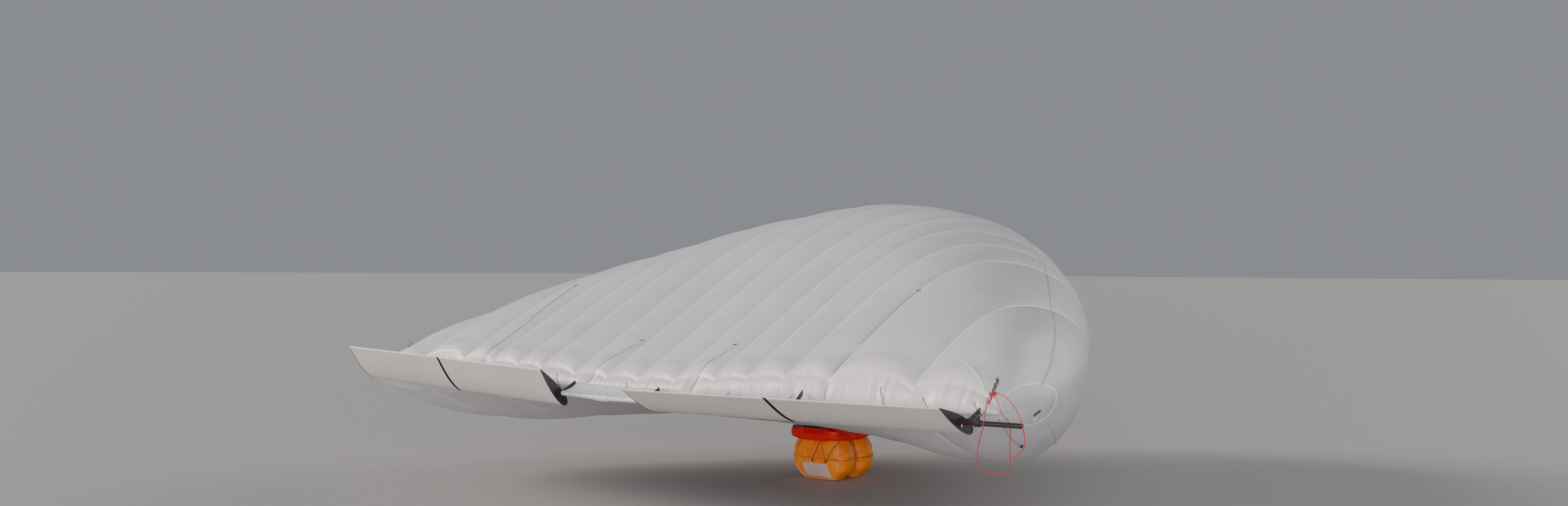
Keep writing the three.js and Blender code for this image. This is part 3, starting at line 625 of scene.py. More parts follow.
# Main stays: span at the patch and at the tail seam, how far forward the patch and the white clip are
STAYS = {
    "outer_port": (-1.545, -1.455, 1.090, 0.560),
    "inner_port": (-0.195, -0.300, 0.525, 0.495),
    "inner_starboard": (0.705, 0.655, 0.470, 0.435),
    "outer_starboard": (1.702, 1.700, 1.040, 0.400),
}
# Where the lacing pulls short creases into the tail strip
PULLS = [-2.05, -1.2, -0.62, 0.10, 0.98, 1.48, 2.05, 2.36, 2.68]

# Sums of sines with fixed phases stand in for random wrinkles
DICE = np.random.RandomState(7)
WRINKLES = [(DICE.uniform(0.026, 0.085), DICE.uniform(0, 6.28), DICE.uniform(0.4, 1)) for _ in range(11)]
SWELLS = [(DICE.uniform(0.35, 1.3), DICE.uniform(0, 6.28), DICE.uniform(0.4, 1)) for _ in range(7)]


def ripple(x, waves, shift=0.0):
    total = sum(a * np.sin(2 * np.pi * (x + shift) / w + p) for w, p, a in waves)
    return total / sum(a for _, _, a in waves)


def scallop(x):
    """How far the tail strip's upper edge climbs the upper skin, most in the middle of each bay."""
    rise, width = arch(x)
    return 0.004 + 0.12 * width * rise**0.85


def spans(start, end, step=0.010, crease=0.0035):
    """Stations between two ribs, close together at each rib so that its crease stays sharp."""
    ribs = np.unique(np.concatenate([-RIBS, RIBS]))
    ribs = ribs[(ribs >= start - 1e-6) & (ribs <= end + 1e-6)]
    out = []
    for a, b in zip(ribs[:-1], ribs[1:]):
        count = max(4, round((b - a) / step))
        out += [a, a + crease, *np.linspace(a, b, count + 1)[1:-1], b - crease]
    return np.array(out + [ribs[-1]])


def run_of(points):
    """Distance along each row of points."""
    hops = np.linalg.norm(np.diff(points, axis=1), axis=2)
    return np.concatenate([np.zeros((len(points), 1)), np.cumsum(hops, axis=1)], axis=1)


def spaced(xs, start, end, near, far, middle):
    """Ways round for each station: near and far are fixed distances from the two edges, middle a count."""
    u = start[:, None] + (end - start)[:, None] * np.linspace(0, 1, 260)
    run = run_of(skin(xs[:, None], u)[0])
    rows = []
    for k, total in enumerate(run[:, -1]):
        edge = min(1, total * 0.3 / max(near[-1], far[-1]))
        a, b = near * edge, total - far[::-1] * edge
        wanted = np.concatenate([a, np.linspace(a[-1], b[0], middle + 2)[1:-1], b])
        rows.append(np.interp(wanted, run[k], u[k]))
    return np.array(rows)


TAIL_NEAR = np.concatenate([np.arange(0, 0.08, 0.006), 0.08 + np.arange(0, 0.2, 0.012)])
SEAM_NEAR = np.array([0, 0.003, 0.006, 0.010, 0.015, 0.022, 0.032, 0.048, 0.075])
SEAM_GROOVE = 0.008
SEAM_WIDTH = 0.011
TAIL_GROOVE = 0.016
NO_SEAM = 9.0  # a distance from any rib or seam that no finish reaches


def film_object(name, points, rib, tail, **options):
    """A sheet of film; its points know their distances to the nearest rib and to the tail seam, which set its
    paler rib lines (seam tape with a painted highlight) and its painted warm highlight near the tail seam.
    """
    obj = net_object(name, points, FILM, **options)
    attach(obj, "rib", np.broadcast_to(rib, points.shape[:2]))
    attach(obj, "tail", np.broadcast_to(tail, points.shape[:2]))
    return obj


def seam_groove(distance):
    return SEAM_GROOVE * bump(distance, SEAM_WIDTH)


def seam_puckers(x, distance, shift):
    """Fine gathers that a welded seam draws into the film beside it."""
    return 0.0011 * ripple(x, WRINKLES, shift) * np.exp(-distance / 0.03)


def near_tail(x, distance):
    """The upper skin by the tail seam: a valley, gathers, and the swell of each bay above it."""
    rise, width = arch(x)
    gathers = 0.0045 * ripple(x, WRINKLES) * np.exp(-distance / 0.045) * (0.2 + rise**2) * (0.5 + width)
    swell = 0.050 * np.minimum(width, 0.38) * rise * bump(distance - 0.10, 0.075)
    return gathers + swell - TAIL_GROOVE * bump(distance, 0.022)


def stay_dent(x, distance):
    """Each main stay presses a shallow line into the film, deepest at its patch and at the tail seam."""
    total = 0
    for patch_x, seam_x, reach, _ in STAYS.values():
        length = reach * 1.13
        off = x - (seam_x + (patch_x - seam_x) * np.clip(distance / length, 0, 1))
        along = np.clip(1.15 - distance / length, 0, 1) ** 0.25
        total = total - 0.0035 * bump(off, 0.018) * along
        total = total - 0.010 * bump(off, 0.035) * np.exp(-distance / 0.09)
        total = total + 0.003 * bump(np.hypot(off, distance - length) - 0.035, 0.02)
    return total


def upper_shape(x, from_tail, from_seam):
    soft = 0.004 * ripple(x + from_tail * 0.3, SWELLS) * np.clip(from_tail / 0.3, 0, 1)
    return (near_tail(x, from_tail) + stay_dent(x, from_tail) + seam_puckers(x, from_seam, 0.4) + soft
            - seam_groove(from_seam))


def nose_shape(x, from_seam, from_low):
    return (seam_puckers(x, from_seam, 2.1) + seam_puckers(x, from_low, 3.3)
            - seam_groove(from_seam) - seam_groove(from_low))


def lower_shape(x, from_seam, from_tail):
    gathers = 0.003 * ripple(x, WRINKLES, 1.7) * np.exp(-from_tail / 0.05)
    return gathers + seam_puckers(x, from_seam, 5.2) - seam_groove(from_seam) - 0.006 * bump(from_tail, 0.02)


def skin_panel(xs, start, end, near, far, middle, shape):
    """Points of one panel, and their distances to its first edge."""
    points, out = skin(xs[:, None], spaced(xs, start, end, near, far, middle))
    run = run_of(points)
    return points + out * shape(xs[:, None], run, run[:, -1:] - run)[..., None], run


def climb(x):
    """Way round of the tail seam on the upper skin at each station."""
    dense = np.linspace(0, 0.3, 120)
    run = run_of(skin(x[:, None], dense)[0])
    return np.array([np.interp(s, row, dense) for s, row in zip(scallop(x), run)])


STRIP_STEPS = 34


def tail_strip(xs, low, top, above):
    """The inflated roll along the tail, from the lower skin's edge up to the scalloped seam."""
    behind = unit(top - above)
    rise, width = (values[:, None] for values in arch(xs))
    fat = (0.012 + 0.055 * np.minimum(width, 0.42)) * rise**0.6
    aft, up = np.array([0, -1.0, 0]), np.array([0, 0, 1.0])
    first = low + aft * (0.030 + fat * 0.8) + up * 0.010
    second = top + behind * (0.028 + fat * 1.5) + up * (0.006 + fat * 0.75) + aft * 0.014
    s = np.linspace(0, 1, STRIP_STEPS)
    points = bezier(low[:, None], first[:, None], second[:, None], top[:, None], s[:, None])
    x = xs[:, None]
    dent = 0.0036 * ripple(x, WRINKLES, 0.9) * (0.2 + s**4)
    for _, seam_x, _, _ in STAYS.values():
        dent = dent + 0.020 * bump(x - seam_x, 0.020 + 0.02 * s) * s**1.5
    for pull in PULLS:
        dent = dent + 0.006 * bump(x - pull + 0.03 * (s - 0.5), 0.010) * bump(s - 0.45, 0.3)
    dent = dent * np.sin(np.pi * s) ** 0.6
    points[..., 1] += dent
    points[..., 2] -= dent * 0.4 * s
    return points


PANEL_SPANS = {"port": (-TIP, -SPAN_CUT), "centre": (-SPAN_CUT, SPAN_CUT), "starboard": (SPAN_CUT, TIP)}
UPPER_ROWS, NOSE_ROWS, LOWER_ROWS = 72, 44, 48
tip_rings, strips = {}, {}
for side, (start, end) in PANEL_SPANS.items():
    xs = spans(start, end)
    high, low = upper_seam(xs), lower_seam(xs)
    upper, upper_run = skin_panel(xs, climb(xs), high, TAIL_NEAR, SEAM_NEAR, UPPER_ROWS, upper_shape)
    nose, _ = skin_panel(xs, high, low, SEAM_NEAR, SEAM_NEAR, NOSE_ROWS, nose_shape)
    lower, _ = skin_panel(xs, low, np.full_like(xs, 3.0), SEAM_NEAR, TAIL_NEAR[:18], LOWER_ROWS, lower_shape)
    strip = tail_strip(xs, lower[:, -1], upper[:, 0], upper[:, 2])
    strips[side] = (xs, strip)
    t, width = bay(xs)
    rib = (np.minimum(t, 1 - t) * width)[:, None]
    # A tail distance of 0 gives the whole tail strip the film's painted warm highlight
    for panel, points, node, tail in (
        ("upper", upper, "upper_skin_", upper_run), ("nose", nose, "nose_strip_", NO_SEAM),
        ("lower", lower, "lower_skin_", NO_SEAM), ("tail", strip, "tail_strip_", 0.0),
    ):
        obj = film_object("film_" + panel + "_" + side, points, rib, tail, flip=True)
        settle(obj, "craft", node + side, slot="film")
    if side != "centre":
        tip_rings[side] = [np.concatenate([net[k, :-1] for net in (upper, nose, lower, strip)])
                           for k in ((0, 1) if side == "port" else (-1, -2))]

TIP_BULGE = 0.024
TIP_STEPS = 18
for side, (ring, before) in tip_rings.items():
    # The tip film leaves the last rib in the skin's own direction and flattens over a core line
    sign = SIDES[side]
    leave = unit(ring - before)
    low, high = ring[:, 1].min(), ring[:, 1].max()
    inset = (high - low) * 0.24
    core = np.stack([ring[:, 0] + sign * TIP_BULGE, np.clip(ring[:, 1], low + inset, high - inset),
                     np.full(len(ring), ring[:, 2].mean())], 1)
    spoke = (ring - core) * (0, 1, 1)
    flare = np.maximum(np.abs(leave[:, 0]), 0.01)
    pull = np.minimum(0.4 * np.linalg.norm(spoke, axis=1), 0.8 * TIP_BULGE / flare)
    t = np.linspace(0, 1, TIP_STEPS)[:, None, None]
    points = bezier(ring, ring + leave * pull[:, None], core + spoke * 0.45, core, t)
    obj = film_object("film_tip_" + side, points, NO_SEAM, NO_SEAM, flip=sign < 0, close_columns=True)
    settle(obj, "craft", "tip_panel_" + side, slot="film")

# Stays, laces and the tie on the dressed film


def on_film(x, reach, lift):
    """Point over the upper skin at a span and a distance forward of the hinge line."""
    u = np.linspace(0, 1, 800)
    points, out = skin(x, u)
    from_tail = run_of(points[None])[0] - scallop(x)
    points = points + out * (upper_shape(x, from_tail, NO_SEAM) + lift)[:, None]
    return points[np.argmin(np.abs(points[:, 1] - HINGE_Y - reach))]


def on_strip(x, part, lift):
    """Point over the tail strip at a span and part of the way up it."""
    side = next(name for name, (a, b) in PANEL_SPANS.items() if a <= x <= b)
    xs, strip = strips[side]
    i = int(np.argmin(np.abs(xs - x)))
    j = min(int(round(part * (STRIP_STEPS - 1))), STRIP_STEPS - 2)
    hop = strip[i, j + 1] - strip[i, max(j - 1, 0)]
    out = np.array([0, -hop[2], hop[1]]) / np.hypot(hop[1], hop[2])
    return strip[i, j] + (out if out[1] < 0 else -out) * lift


STAY_LIFT = 0.005
for name, (patch_x, seam_x, reach, clip) in STAYS.items():
    def along(distances):
        xs = seam_x + (patch_x - seam_x) * (distances - TAIL_TOP_Y) / (reach - TAIL_TOP_Y)
        return [on_film(x, y, STAY_LIFT) for x, y in zip(xs, distances)]

    line = along(np.linspace(reach, TAIL_TOP_Y + 0.10, max(4, round(reach * 8))))
    line += [on_strip(seam_x - 0.004 * k, part, 0.004) for k, part in enumerate((0.90, 0.62, 0.34))]
    stay = cord("stay_" + name, line, 90, 0.0014, CORD_GREY)
    settle(stay, "craft", "stay_" + name, slot="cord")
    ends = (clip + 0.05, clip - 0.03) if clip < reach - 0.1 else (reach - 0.012, reach - 0.05)
    settle(cord("stay_clip_" + name, along(np.linspace(*ends, 6)), 14, 0.0042, WHITE, 12))
    edge = np.array([on_film(patch_x + 0.019 * math.cos(a), reach + 0.024 * math.sin(a), 0.0012)
                     for a in circle(28)])
    middle = on_film(patch_x, reach, 0.0032)
    rows = np.array([middle + (edge - middle) * s for s in (1.0, 0.93, 0.7, 0.35, 0.02)])
    rows[1:4, :, 2] += 0.0007
    settle(net_object("stay_patch_" + name, rows, TAPE, close_columns=True))
    toggle = [on_film(patch_x + d, reach + d * 0.8, STAY_LIFT) for d in (-0.011, 0.0, 0.012)]
    settle(cord("stay_toggle_" + name, toggle, 8, 0.0032, BLACK, 10))

# Short laces from the tail strip down towards the tube: span, part of the strip at each end, lean
LACES = [
    (2.065, 0.72, 0.30, 0.045), (2.345, 0.66, 0.32, 0.045), (2.665, 0.70, 0.22, 0.045),
    (0.065, 0.80, 0.36, 0.055), (1.470, 0.42, 0.20, -0.03), (0.990, 0.50, 0.30, -0.03),
    (-0.62, 0.75, 0.30, 0.045), (-1.20, 0.75, 0.30, 0.045), (-2.05, 0.72, 0.30, 0.045),
]
laces = []
for x, top, low, lean in LACES:
    line = [on_strip(x + lean * s, top + (low - top) * s, 0.0022) for s in np.linspace(0, 1, 7)]
    end = [line[-1], line[-1] + (line[-1] - line[-3]) * 0.35]
    laces += [cord("lace", line, 14, 0.0016, CORD_GREY), tube_object("lace_end", end, 0.0032, BLACK, 10)]
settle(join("strip_laces", laces))

# White tie from the upper skin to the gas sleeve's foot
tie = [on_film(x, y, 0.0035) for x, y in zip(np.linspace(2.470, 2.700, 9), np.linspace(0.330, 0.185, 9))]
settle(cord("white_tie", tie, 40, 0.0028, WHITE, 10))

# Flaps: taut film over a foil, with a bright tape along the trailing edge and black end plates

FLAP_CHORD = 0.335
FLAP_HALF = 0.035
FLAP_NOSE = FLAP_CHORD * 0.31
FLAP_TAIL = FLAP_NOSE - FLAP_CHORD
FLAP_DROP = 0.010
TAIL_EDGE = 0.0024
FLAP_RIBS = 9
FLAP_STATIONS = 150
FLAP_SPANS = {"inner": (0.418, 1.543), "outer": (1.561, 2.688)}
FLAP_REST = {"starboard": rad(24.5), "port": rad(47)}
END_PLATE = 0.003
PLATE_LIP = 0.0015


def aerofoil(grow=0.0, steps=26):
    """Points round the foil, forward and up from the tube's axis, from the tail along the bottom."""
    nose, tail, half = FLAP_NOSE + grow, FLAP_TAIL - grow, FLAP_HALF + grow
    top, bottom = half - FLAP_DROP, -half - FLAP_DROP
    edge = TAIL_EDGE / 2
    runs = [
        [(tail, -FLAP_DROP - edge), (tail * 0.35, bottom), (tail * 0.1, bottom), (0, bottom)],
        [(0, bottom), (nose * 0.7, bottom), (nose, -half * 0.6 - FLAP_DROP), (nose, -FLAP_DROP)],
        [(nose, -FLAP_DROP), (nose, half * 0.6 - FLAP_DROP), (nose * 0.7, top), (0, top)],
        [(0, top), (tail * 0.1, top), (tail * 0.35, top), (tail, -FLAP_DROP + edge)],
    ]
    t = np.linspace(0, 1, steps, endpoint=False)[:, None]
    return np.concatenate([bezier(*np.array(run), t) for run in runs] + [[runs[-1][-1]]])


def tube_frame(sign):
    """The tube's axis on one side of the craft: X along it, Y forward."""
    lean = Matrix.Rotation(-sign * math.atan(HINGE_RISE), 4, "Y")
    return Matrix.Translation((CENTRE_X, HINGE_Y, HINGE_Z)) @ lean


def hinge_frame(side):
    return tube_frame(SIDES[side]) @ Matrix.Rotation(-FLAP_REST[side], 4, "X")


def flap_skin(name, start, end):
    """Film over the foil, sunk a little between its ribs."""
    foil = aerofoil()
    stations = np.linspace(start, end, FLAP_STATIONS)
    sag = np.abs(np.sin(np.pi * (stations - start) / (end - start) * FLAP_RIBS))
    chord_part = (FLAP_NOSE - foil[:, 0]) / FLAP_CHORD
    mask = np.clip((chord_part - 0.22) / 0.2, 0, 1) * np.clip((0.97 - chord_part) / 0.12, 0, 1)
    depth = (0.0014 * sag**0.7 + 0.0006 * ripple(stations, SWELLS, 0.5))[:, None] * mask
    rows = np.empty((*depth.shape, 3))
    rows[..., 0] = stations[:, None]
    rows[..., 1] = foil[:, 0]
    rows[..., 2] = foil[:, 1] - np.sign(foil[:, 1] + FLAP_DROP) * depth
    obj = mend(capped_object(name, rows, FLAP))
    attach(obj, "band", np.broadcast_to(foil[:, 0] - FLAP_TAIL, depth.shape))
    return obj


def next_round(ring):
    return ring[1:] + ring[:1]


def end_plate(name, start, end):
    """A thin plate with rounded rims round the foil, open for the tube."""
    rim = 0.0007
    sides = ((start, rim), (start + rim * 0.3, rim * 0.3), (start + rim, 0),
             (end - rim, 0), (end - rim * 0.3, rim * 0.3), (end, rim))
    bore = np.stack([np.cos(circle(56)), np.sin(circle(56))], 1) * TUBE_R * 1.04
    body = bmesh.new()
    rims, holes = ([[body.verts.new((x, *p)) for p in shape] for x, shape in rings] for rings in (
        [(x, aerofoil(PLATE_LIP - inset, 14)) for x, inset in sides], [(start, bore), (end, bore)]))
    for group in (rims, holes):
        for a, b in zip(group[:-1], group[1:]):
            for corners in zip(a, next_round(a), next_round(b), b):
                body.faces.new(corners)
    for k in (0, -1):
        edges = [body.edges.get(pair) for ring in (rims[k], holes[k]) for pair in zip(ring, next_round(ring))]
        bmesh.ops.triangle_fill(body, use_beauty=True, use_dissolve=False, edges=edges, normal=(1, 0, 0))
    obj = from_bmesh(name, body, CARBON)
    for face in obj.data.polygons:
        face.use_smooth = abs(face.normal.x) < 0.3
    return obj


def mirrored(half, centre=0.0):
    """A profile of (distance along, radius) pairs on both sides of its middle, from one half of it."""
    return [(centre - d, r) for d, r in half] + [(centre + d, r) for d, r in half[::-1]]


def revolved(profile, sides):
    return [[(x, r * math.cos(a), r * math.sin(a)) for x, r in profile] for a in circle(sides)]


def washer(name, x, half, inner, outer, material, sides=40, soft=0.0006):
    """A washer or short sleeve round the tube's axis, its rims softened."""
    rim = [(half - soft, inner), (half, inner + soft), (half, outer - soft), (half - soft, outer)]
    rows = revolved(mirrored(rim, x), sides)
    return net_object(name, rows, material, close_rows=True, close_columns=True)


def lathe(name, profile, material):
    """A closed body turned round the tube's axis from (distance along, radius) pairs."""
    return sharpen(mend(net_object(name, revolved(profile, 48), material, close_rows=True)))


for side, sign in SIDES.items():
    at = hinge_frame(side)
    for where, ends in FLAP_SPANS.items():
        start, end = sorted(sign * x for x in ends)
        body_name = where + "_" + side + "_flap"
        node = "flap_" + where + "_" + side
        flap = flap_skin("dressed_" + node, start + END_PLATE + GAP, end - END_PLATE - GAP)
        settle(placed(flap, at), body_name, node, slot="flap")
        for letter, a, b, boss_x in (("a", start, start + END_PLATE, start - 0.0016),
                                     ("b", end - END_PLATE, end, end + 0.0016)):
            plate = end_plate("dressed_" + node + "_plate_" + letter, a, b)
            settle(placed(plate, at), body_name, node + "_plate_" + letter, slot="carbon")
            boss = washer(node + "_boss_" + letter, boss_x, 0.0014, TUBE_R * 1.05, 0.0180, BLACK)
            settle(placed(boss, at), body_name)

# White washer under the tube on the outermost plate of each side
WASHER_DROP = 0.018
for side, sign in SIDES.items():
    face = sign * (FLAP_SPANS["outer"][1] + 0.0012)
    disc = washer("plate_washer_" + side, face, 0.0010, 0.0036, 0.0082, WHITE, 28, 0.0004)
    at = hinge_frame(side) @ Matrix.Translation((0, -0.006, -WASHER_DROP))
    settle(placed(disc, at), "outer_" + side + "_flap")

# Tail tube, its joiner, wraps and collar

JOINER_HALF = 0.060
TUBE_END = {"starboard": 3.022, "port": 2.724}
TUBE_BORE = 0.0112
WRAPS = (0.382, 0.408, 1.5465, 1.5575, 2.700, 2.724)
COLLAR_X = 2.772
for side, sign in SIDES.items():
    at = tube_frame(sign)
    start, end = JOINER_HALF + GAP, TUBE_END[side]
    profile = [(start, 0), (start, TUBE_R), (end - 0.0015, TUBE_R), (end - 0.0004, TUBE_R - 0.0008),
               (end, TUBE_BORE + 0.0006), (end - 0.002, TUBE_BORE), (end - 0.09, TUBE_BORE), (end - 0.09, 0)]
    tube = lathe("tube_" + side, [(sign * x, r) for x, r in profile], CARBON)
    settle(placed(tube, at), "craft", "tail_tube_" + side, slot="carbon")
    wraps = [placed(washer("wrap", sign * x, 0.003, TUBE_R, TUBE_R + 0.0012, BLACK), at)
             for x in WRAPS if x + 0.004 < end]
    settle(join("tube_wraps_" + side, wraps))
joiner = mirrored([(JOINER_HALF, 0), (JOINER_HALF, 0.0162), (JOINER_HALF - 0.001, 0.017), (0.004, 0.017),
                   (0.003, 0.0176)])
at = Matrix.Translation((CENTRE_X, HINGE_Y, HINGE_Z + HINGE_RISE * JOINER_HALF))
settle(placed(lathe("dressed_joiner", joiner, CARBON), at), "craft", "tube_joiner", slot="carbon")

at = tube_frame(1)
clamp = mirrored([(0.015, TUBE_R + GAP), (0.015, 0.0182), (0.0142, 0.019)], COLLAR_X)
collar = lathe("dressed_collar", clamp + clamp[:1], BLACK)
ear = block("collar_ear", (COLLAR_X - 0.011, -0.0035, 0.017), (COLLAR_X + 0.013, 0.0035, 0.040), 0.0022,
            BLACK)
pinch = [(COLLAR_X + 0.001, y, 0.030) for y in (-0.0062, 0.0062)]
bolt = tube_object("collar_bolt", pinch, 0.0026, STEEL, 6)
settle(placed(join("collar", [collar, ear, bolt]), at), "craft", "tube_collar_starboard", slot="carbon")

# Reddish wrap and tape on the tube between the outer flap and the collar
for name, start, end, slope, thick in (("tube_stub_wrap", 2.6925, 2.7092, 0.0007, 0.0016),
                                       ("tube_stub_tape", 2.7160, 2.7560, 0.0006, 0.0014)):
    profile = [(start, TUBE_R), (start + slope, TUBE_R + thick), (end - slope, TUBE_R + thick), (end, TUBE_R),
               (start, TUBE_R)]
    settle(placed(lathe(name, profile, WINE_TAPE), at))

# Film sleeve that ties the tube to the tail between the inner flaps: a lead from the strip, and the turn
SLEEVE_HALF = 0.386
LEAD_STEPS = 16
sleeve_xs = np.linspace(-SLEEVE_HALF, SLEEVE_HALF, 110)
rows = []
for x in sleeve_xs:
    seat = on_strip(x, 0.52, 0.0012)
    axis = craft_point(x, 0, hinge_z(x))
    radius = 0.0195 if abs(x) < 0.066 else 0.0150
    touch = [axis + radius * np.array([0, math.cos(a), math.sin(a)])
             for a in np.linspace(rad(62), rad(300), 26)]
    part = np.linspace(0, 1, LEAD_STEPS)[:, None]
    sag = 0.010 * np.sin(np.pi * part) * (1 + 0.5 * ripple(x, WRINKLES, 0.3))
    lead = seat + (touch[0] - seat) * part + sag * (0, 0.5, -0.6)
    rows.append(np.concatenate([lead[:-1], touch]))
rows = np.array(rows)
# A tail distance of 0.15 gives the sleeve part of the film's painted warm highlight
wrap = thicken(film_object("tube_film_sleeve", rows, NO_SEAM, 0.15), PATCH_THICK)
settle(wrap, "craft", "tube_sleeve", slot="film")
settle(tube_object("sleeve_hem", rows[:, -1] + (0, 0, -0.0008), 0.0015, CORD_WHITE, 8))
eyelets = []
for x in (-0.36, -0.20, 0.20, 0.36):
    centre = rows[int(np.argmin(np.abs(sleeve_xs - x)))][24]
    out = unit(centre - craft_point(x, 0, hinge_z(x)))
    across = np.array([1.0, 0, 0])
    axes = (across, np.cross(out, across), out)
    eyelets.append(torus_object("eyelet", centre + out * 0.0012, axes, 0.0052, 0.0013, (20, 8), STEEL))
settle(join("sleeve_eyelets", eyelets))

# Gas sleeves: clear film tubes, gathered and tied at the foot and folded shut at the top

GIRTH = [0.45, 0.5, 0.9, 1.0, 0.95, 0.6]
# span, way round the section, the top from the foot, radius
SLEEVES = {
    "starboard": (2.738, 0.12, (0.008, 0.040, 0.096), 0.013),
    "port": (-2.660, 0.3, (-0.016, 0.078, 0.088), 0.012),
}
FOOT_RUN = 0.014
SLEEVE_STEPS = 60
BAND_AT = 52


def coarse_skin(x, u):
    """A point of the part's own skin, with a lobe between all its stations, and the way out there."""
    y, z, out_y, out_z = section(x, u)
    out = np.array([0.0, out_y, out_z])
    k = min(int(np.searchsorted(STATIONS, abs(x), side="right")) - 1, len(STATIONS) - 2)
    width = STATIONS[k + 1] - STATIONS[k]
    t = (abs(x) - STATIONS[k]) / width
    stand = LOBE * width * 4 * t * (1 - t) * min(1, u / 0.12)
    return craft_point(x, y, z - droop(x)) + out * stand, out


def sleeve_route(x, u, top):
    """The CAD sleeve's own route: foot, straight stretch, and the top."""
    surface, out = coarse_skin(x, u)
    stretch = np.array(top)
    return spline([surface + out * GAP, surface + out * FOOT_RUN, surface + stretch * 0.6, surface + stretch],
                  SLEEVE_STEPS)


for side, (x, u, top, radius) in SLEEVES.items():
    path = sleeve_route(x, u, top)
    part = np.linspace(0, 1, len(path))[:, None]
    girth = np.interp(part, np.linspace(0, 1, len(GIRTH)), GIRTH) * radius
    tangents = unit(np.gradient(path, axis=0))
    side_way = unit(np.cross(tangents, np.array([0.2, -0.9, 0.1])))
    other = np.cross(tangents, side_way)
    turns = circle(56)
    fold = 0.09 * np.sin(7 * turns + 9 * part) * (1 - part) + 0.05 * np.sin(4 * turns + 17 * part)
    reach = girth * (0.93 + fold * 0.7)
    flat = 1 - 0.55 * part**3
    rows = (path[:, None] + (reach * np.cos(turns))[..., None] * side_way[:, None]
            + (reach * np.sin(turns) * flat)[..., None] * other[:, None])
    shut = [rows[-1] * (1 - s) + path[-1] * s + tangents[-1] * 0.0012 * k
            for k, s in enumerate((0.35, 0.7, 0.96), 1)]
    body = net_object("clear_sleeve_" + side, np.concatenate([rows, shut]), CLEAR, close_columns=True)
    settle(body, "craft", "gas_sleeve_" + side, slot="sleeve")
    band = [path[BAND_AT] + tangents[BAND_AT] * d for d in (-0.003, 0.003)]
    settle(tube_object("sleeve_band_" + side, band, girth[BAND_AT] * 1.02, CORD_GREY, 24))

# Red rope: two loops, and turns of it round the sleeve's neck, in mm

ROPE_R = 0.0025
LONG_LOOP = [
    (2741.1, 173.7, 961.6), (2743, 165, 959.4), (2750, 140, 958), (2763, 108, 954), (2786, 54, 924),
    (2804, 14, 890), (2814, -10, 862), (2816, -16.4, 840), (2809, -17, 815), (2796, -15, 775),
    (2783, -12, 725), (2774, -8, 680), (2779, -4, 645), (2799, 0, 615), (2835, 2, 600), (2875, 4, 598),
    (2915, 7, 603), (2941, 10, 625), (2948, 12, 665), (2946, 14, 715), (2944, 17, 765),
    (2946, 17, 810), (2945, 16.4, 842), (2930, 20, 862), (2906, 28, 877), (2886, 40, 893),
    (2864, 56, 914), (2840, 80, 934), (2812, 108, 951), (2784, 138, 961), (2760, 162, 963),
    (2747.4, 176.6, 962.2),
]
SHORT_LOOP = [
    (2751.7, 180.7, 968.7), (2760, 177, 968), (2785, 160, 978), (2850, 110, 976), (2890, 84, 964),
    (2930, 60, 945), (2965, 36, 922), (2995, 12, 896), (3018, -8, 872), (3032, -18, 846), (3042, -19, 815),
    (3046, -17, 780), (3040, -13, 752), (3023, -7, 728), (3000, 0, 708), (2976, 6, 694), (2954, 11, 688),
]


def rope(name, millimetres, steps, node):
    path = spline(craft_points(millimetres), steps)
    curve = bpy.data.curves.new(name, "CURVE")
    curve.dimensions = "3D"
    line = curve.splines.new("POLY")
    line.points.add(len(path) - 1)
    for point, place in zip(line.points, path):
        point.co = (*place, 1)
    curve.bevel_depth = ROPE_R
    curve.bevel_resolution = 4
    curve.use_fill_caps = True
    curve.materials.append(ROPE_RED)
    obj = link_object(name, curve)
    settle(obj, "craft", node, slot="rope")


rope("red_rope_long", LONG_LOOP, 220, "rope_long_loop")
rope("red_rope_short", SHORT_LOOP, 130, "rope_short_loop")

KNOT_TURNS = 4.4


def round_turns(count, steps):
    return np.linspace(0, 2 * np.pi * count, steps)[:, None]


def knot_part(path, radius=ROPE_R):
    return tube_object("knot", path, radius, ROPE_RED, 10)


x, u, top, _ = SLEEVES["starboard"]
foot_path = sleeve_route(x, u, top)
foot = foot_path[0]
neck = unit(foot_path[12] - foot)
across = unit(np.cross(neck, (0.0, 1.0, 0.0)))
over = np.cross(neck, across)
a = round_turns(KNOT_TURNS, 200)
part = a / (2 * np.pi * KNOT_TURNS)
rise = 0.0085 + 0.0150 * part + 0.0016 * np.sin(2.3 * a)
reach = 0.0112 + 0.0030 * np.sin(np.pi * part) + 0.0012 * np.sin(3.1 * a)
knot_parts = [knot_part(foot + neck * rise + (across * np.cos(a) + over * np.sin(a)) * reach)]
a = round_turns(1.2, 46)
lumps = ((0.016, -0.013, 0.0075), (0.011, 0.014, 0.0068), (0.020, 0.004, 0.0080))
for k, (lead, sideways, size) in enumerate(lumps):
    centre = foot + neck * lead - over * 0.012 + across * sideways
    knot_parts.append(knot_part(centre + size * (across * np.cos(a) + neck * np.sin(a) * 0.75
                                                 + over * 0.55 * np.sin(2 * a + k))))
a = round_turns(1.15, 60)
second = craft_points((2768.0, 158.0, 971.0))
knot_parts.append(knot_part(second + 0.0085 * np.hstack([np.cos(a), 0.5 * np.sin(2 * a), np.sin(a)])))
hank = craft_points([(2757, 166, 964), (2750, 158, 950), (2741, 146, 934), (2744, 141, 926), (2752, 148, 938),
                     (2758, 160, 954)])
knot_parts.append(knot_part(curve_path(hank, 60), 0.0023))
settle(join("rope_turns", knot_parts), "craft", "rope_knot", slot="rope")

# Landing cushion: two bags and the pad on them, blown up by a short cloth simulation

BAG_AFT_Y = 2.262
BAG_DEPTH = 0.228
BAG_HEIGHT = 0.334
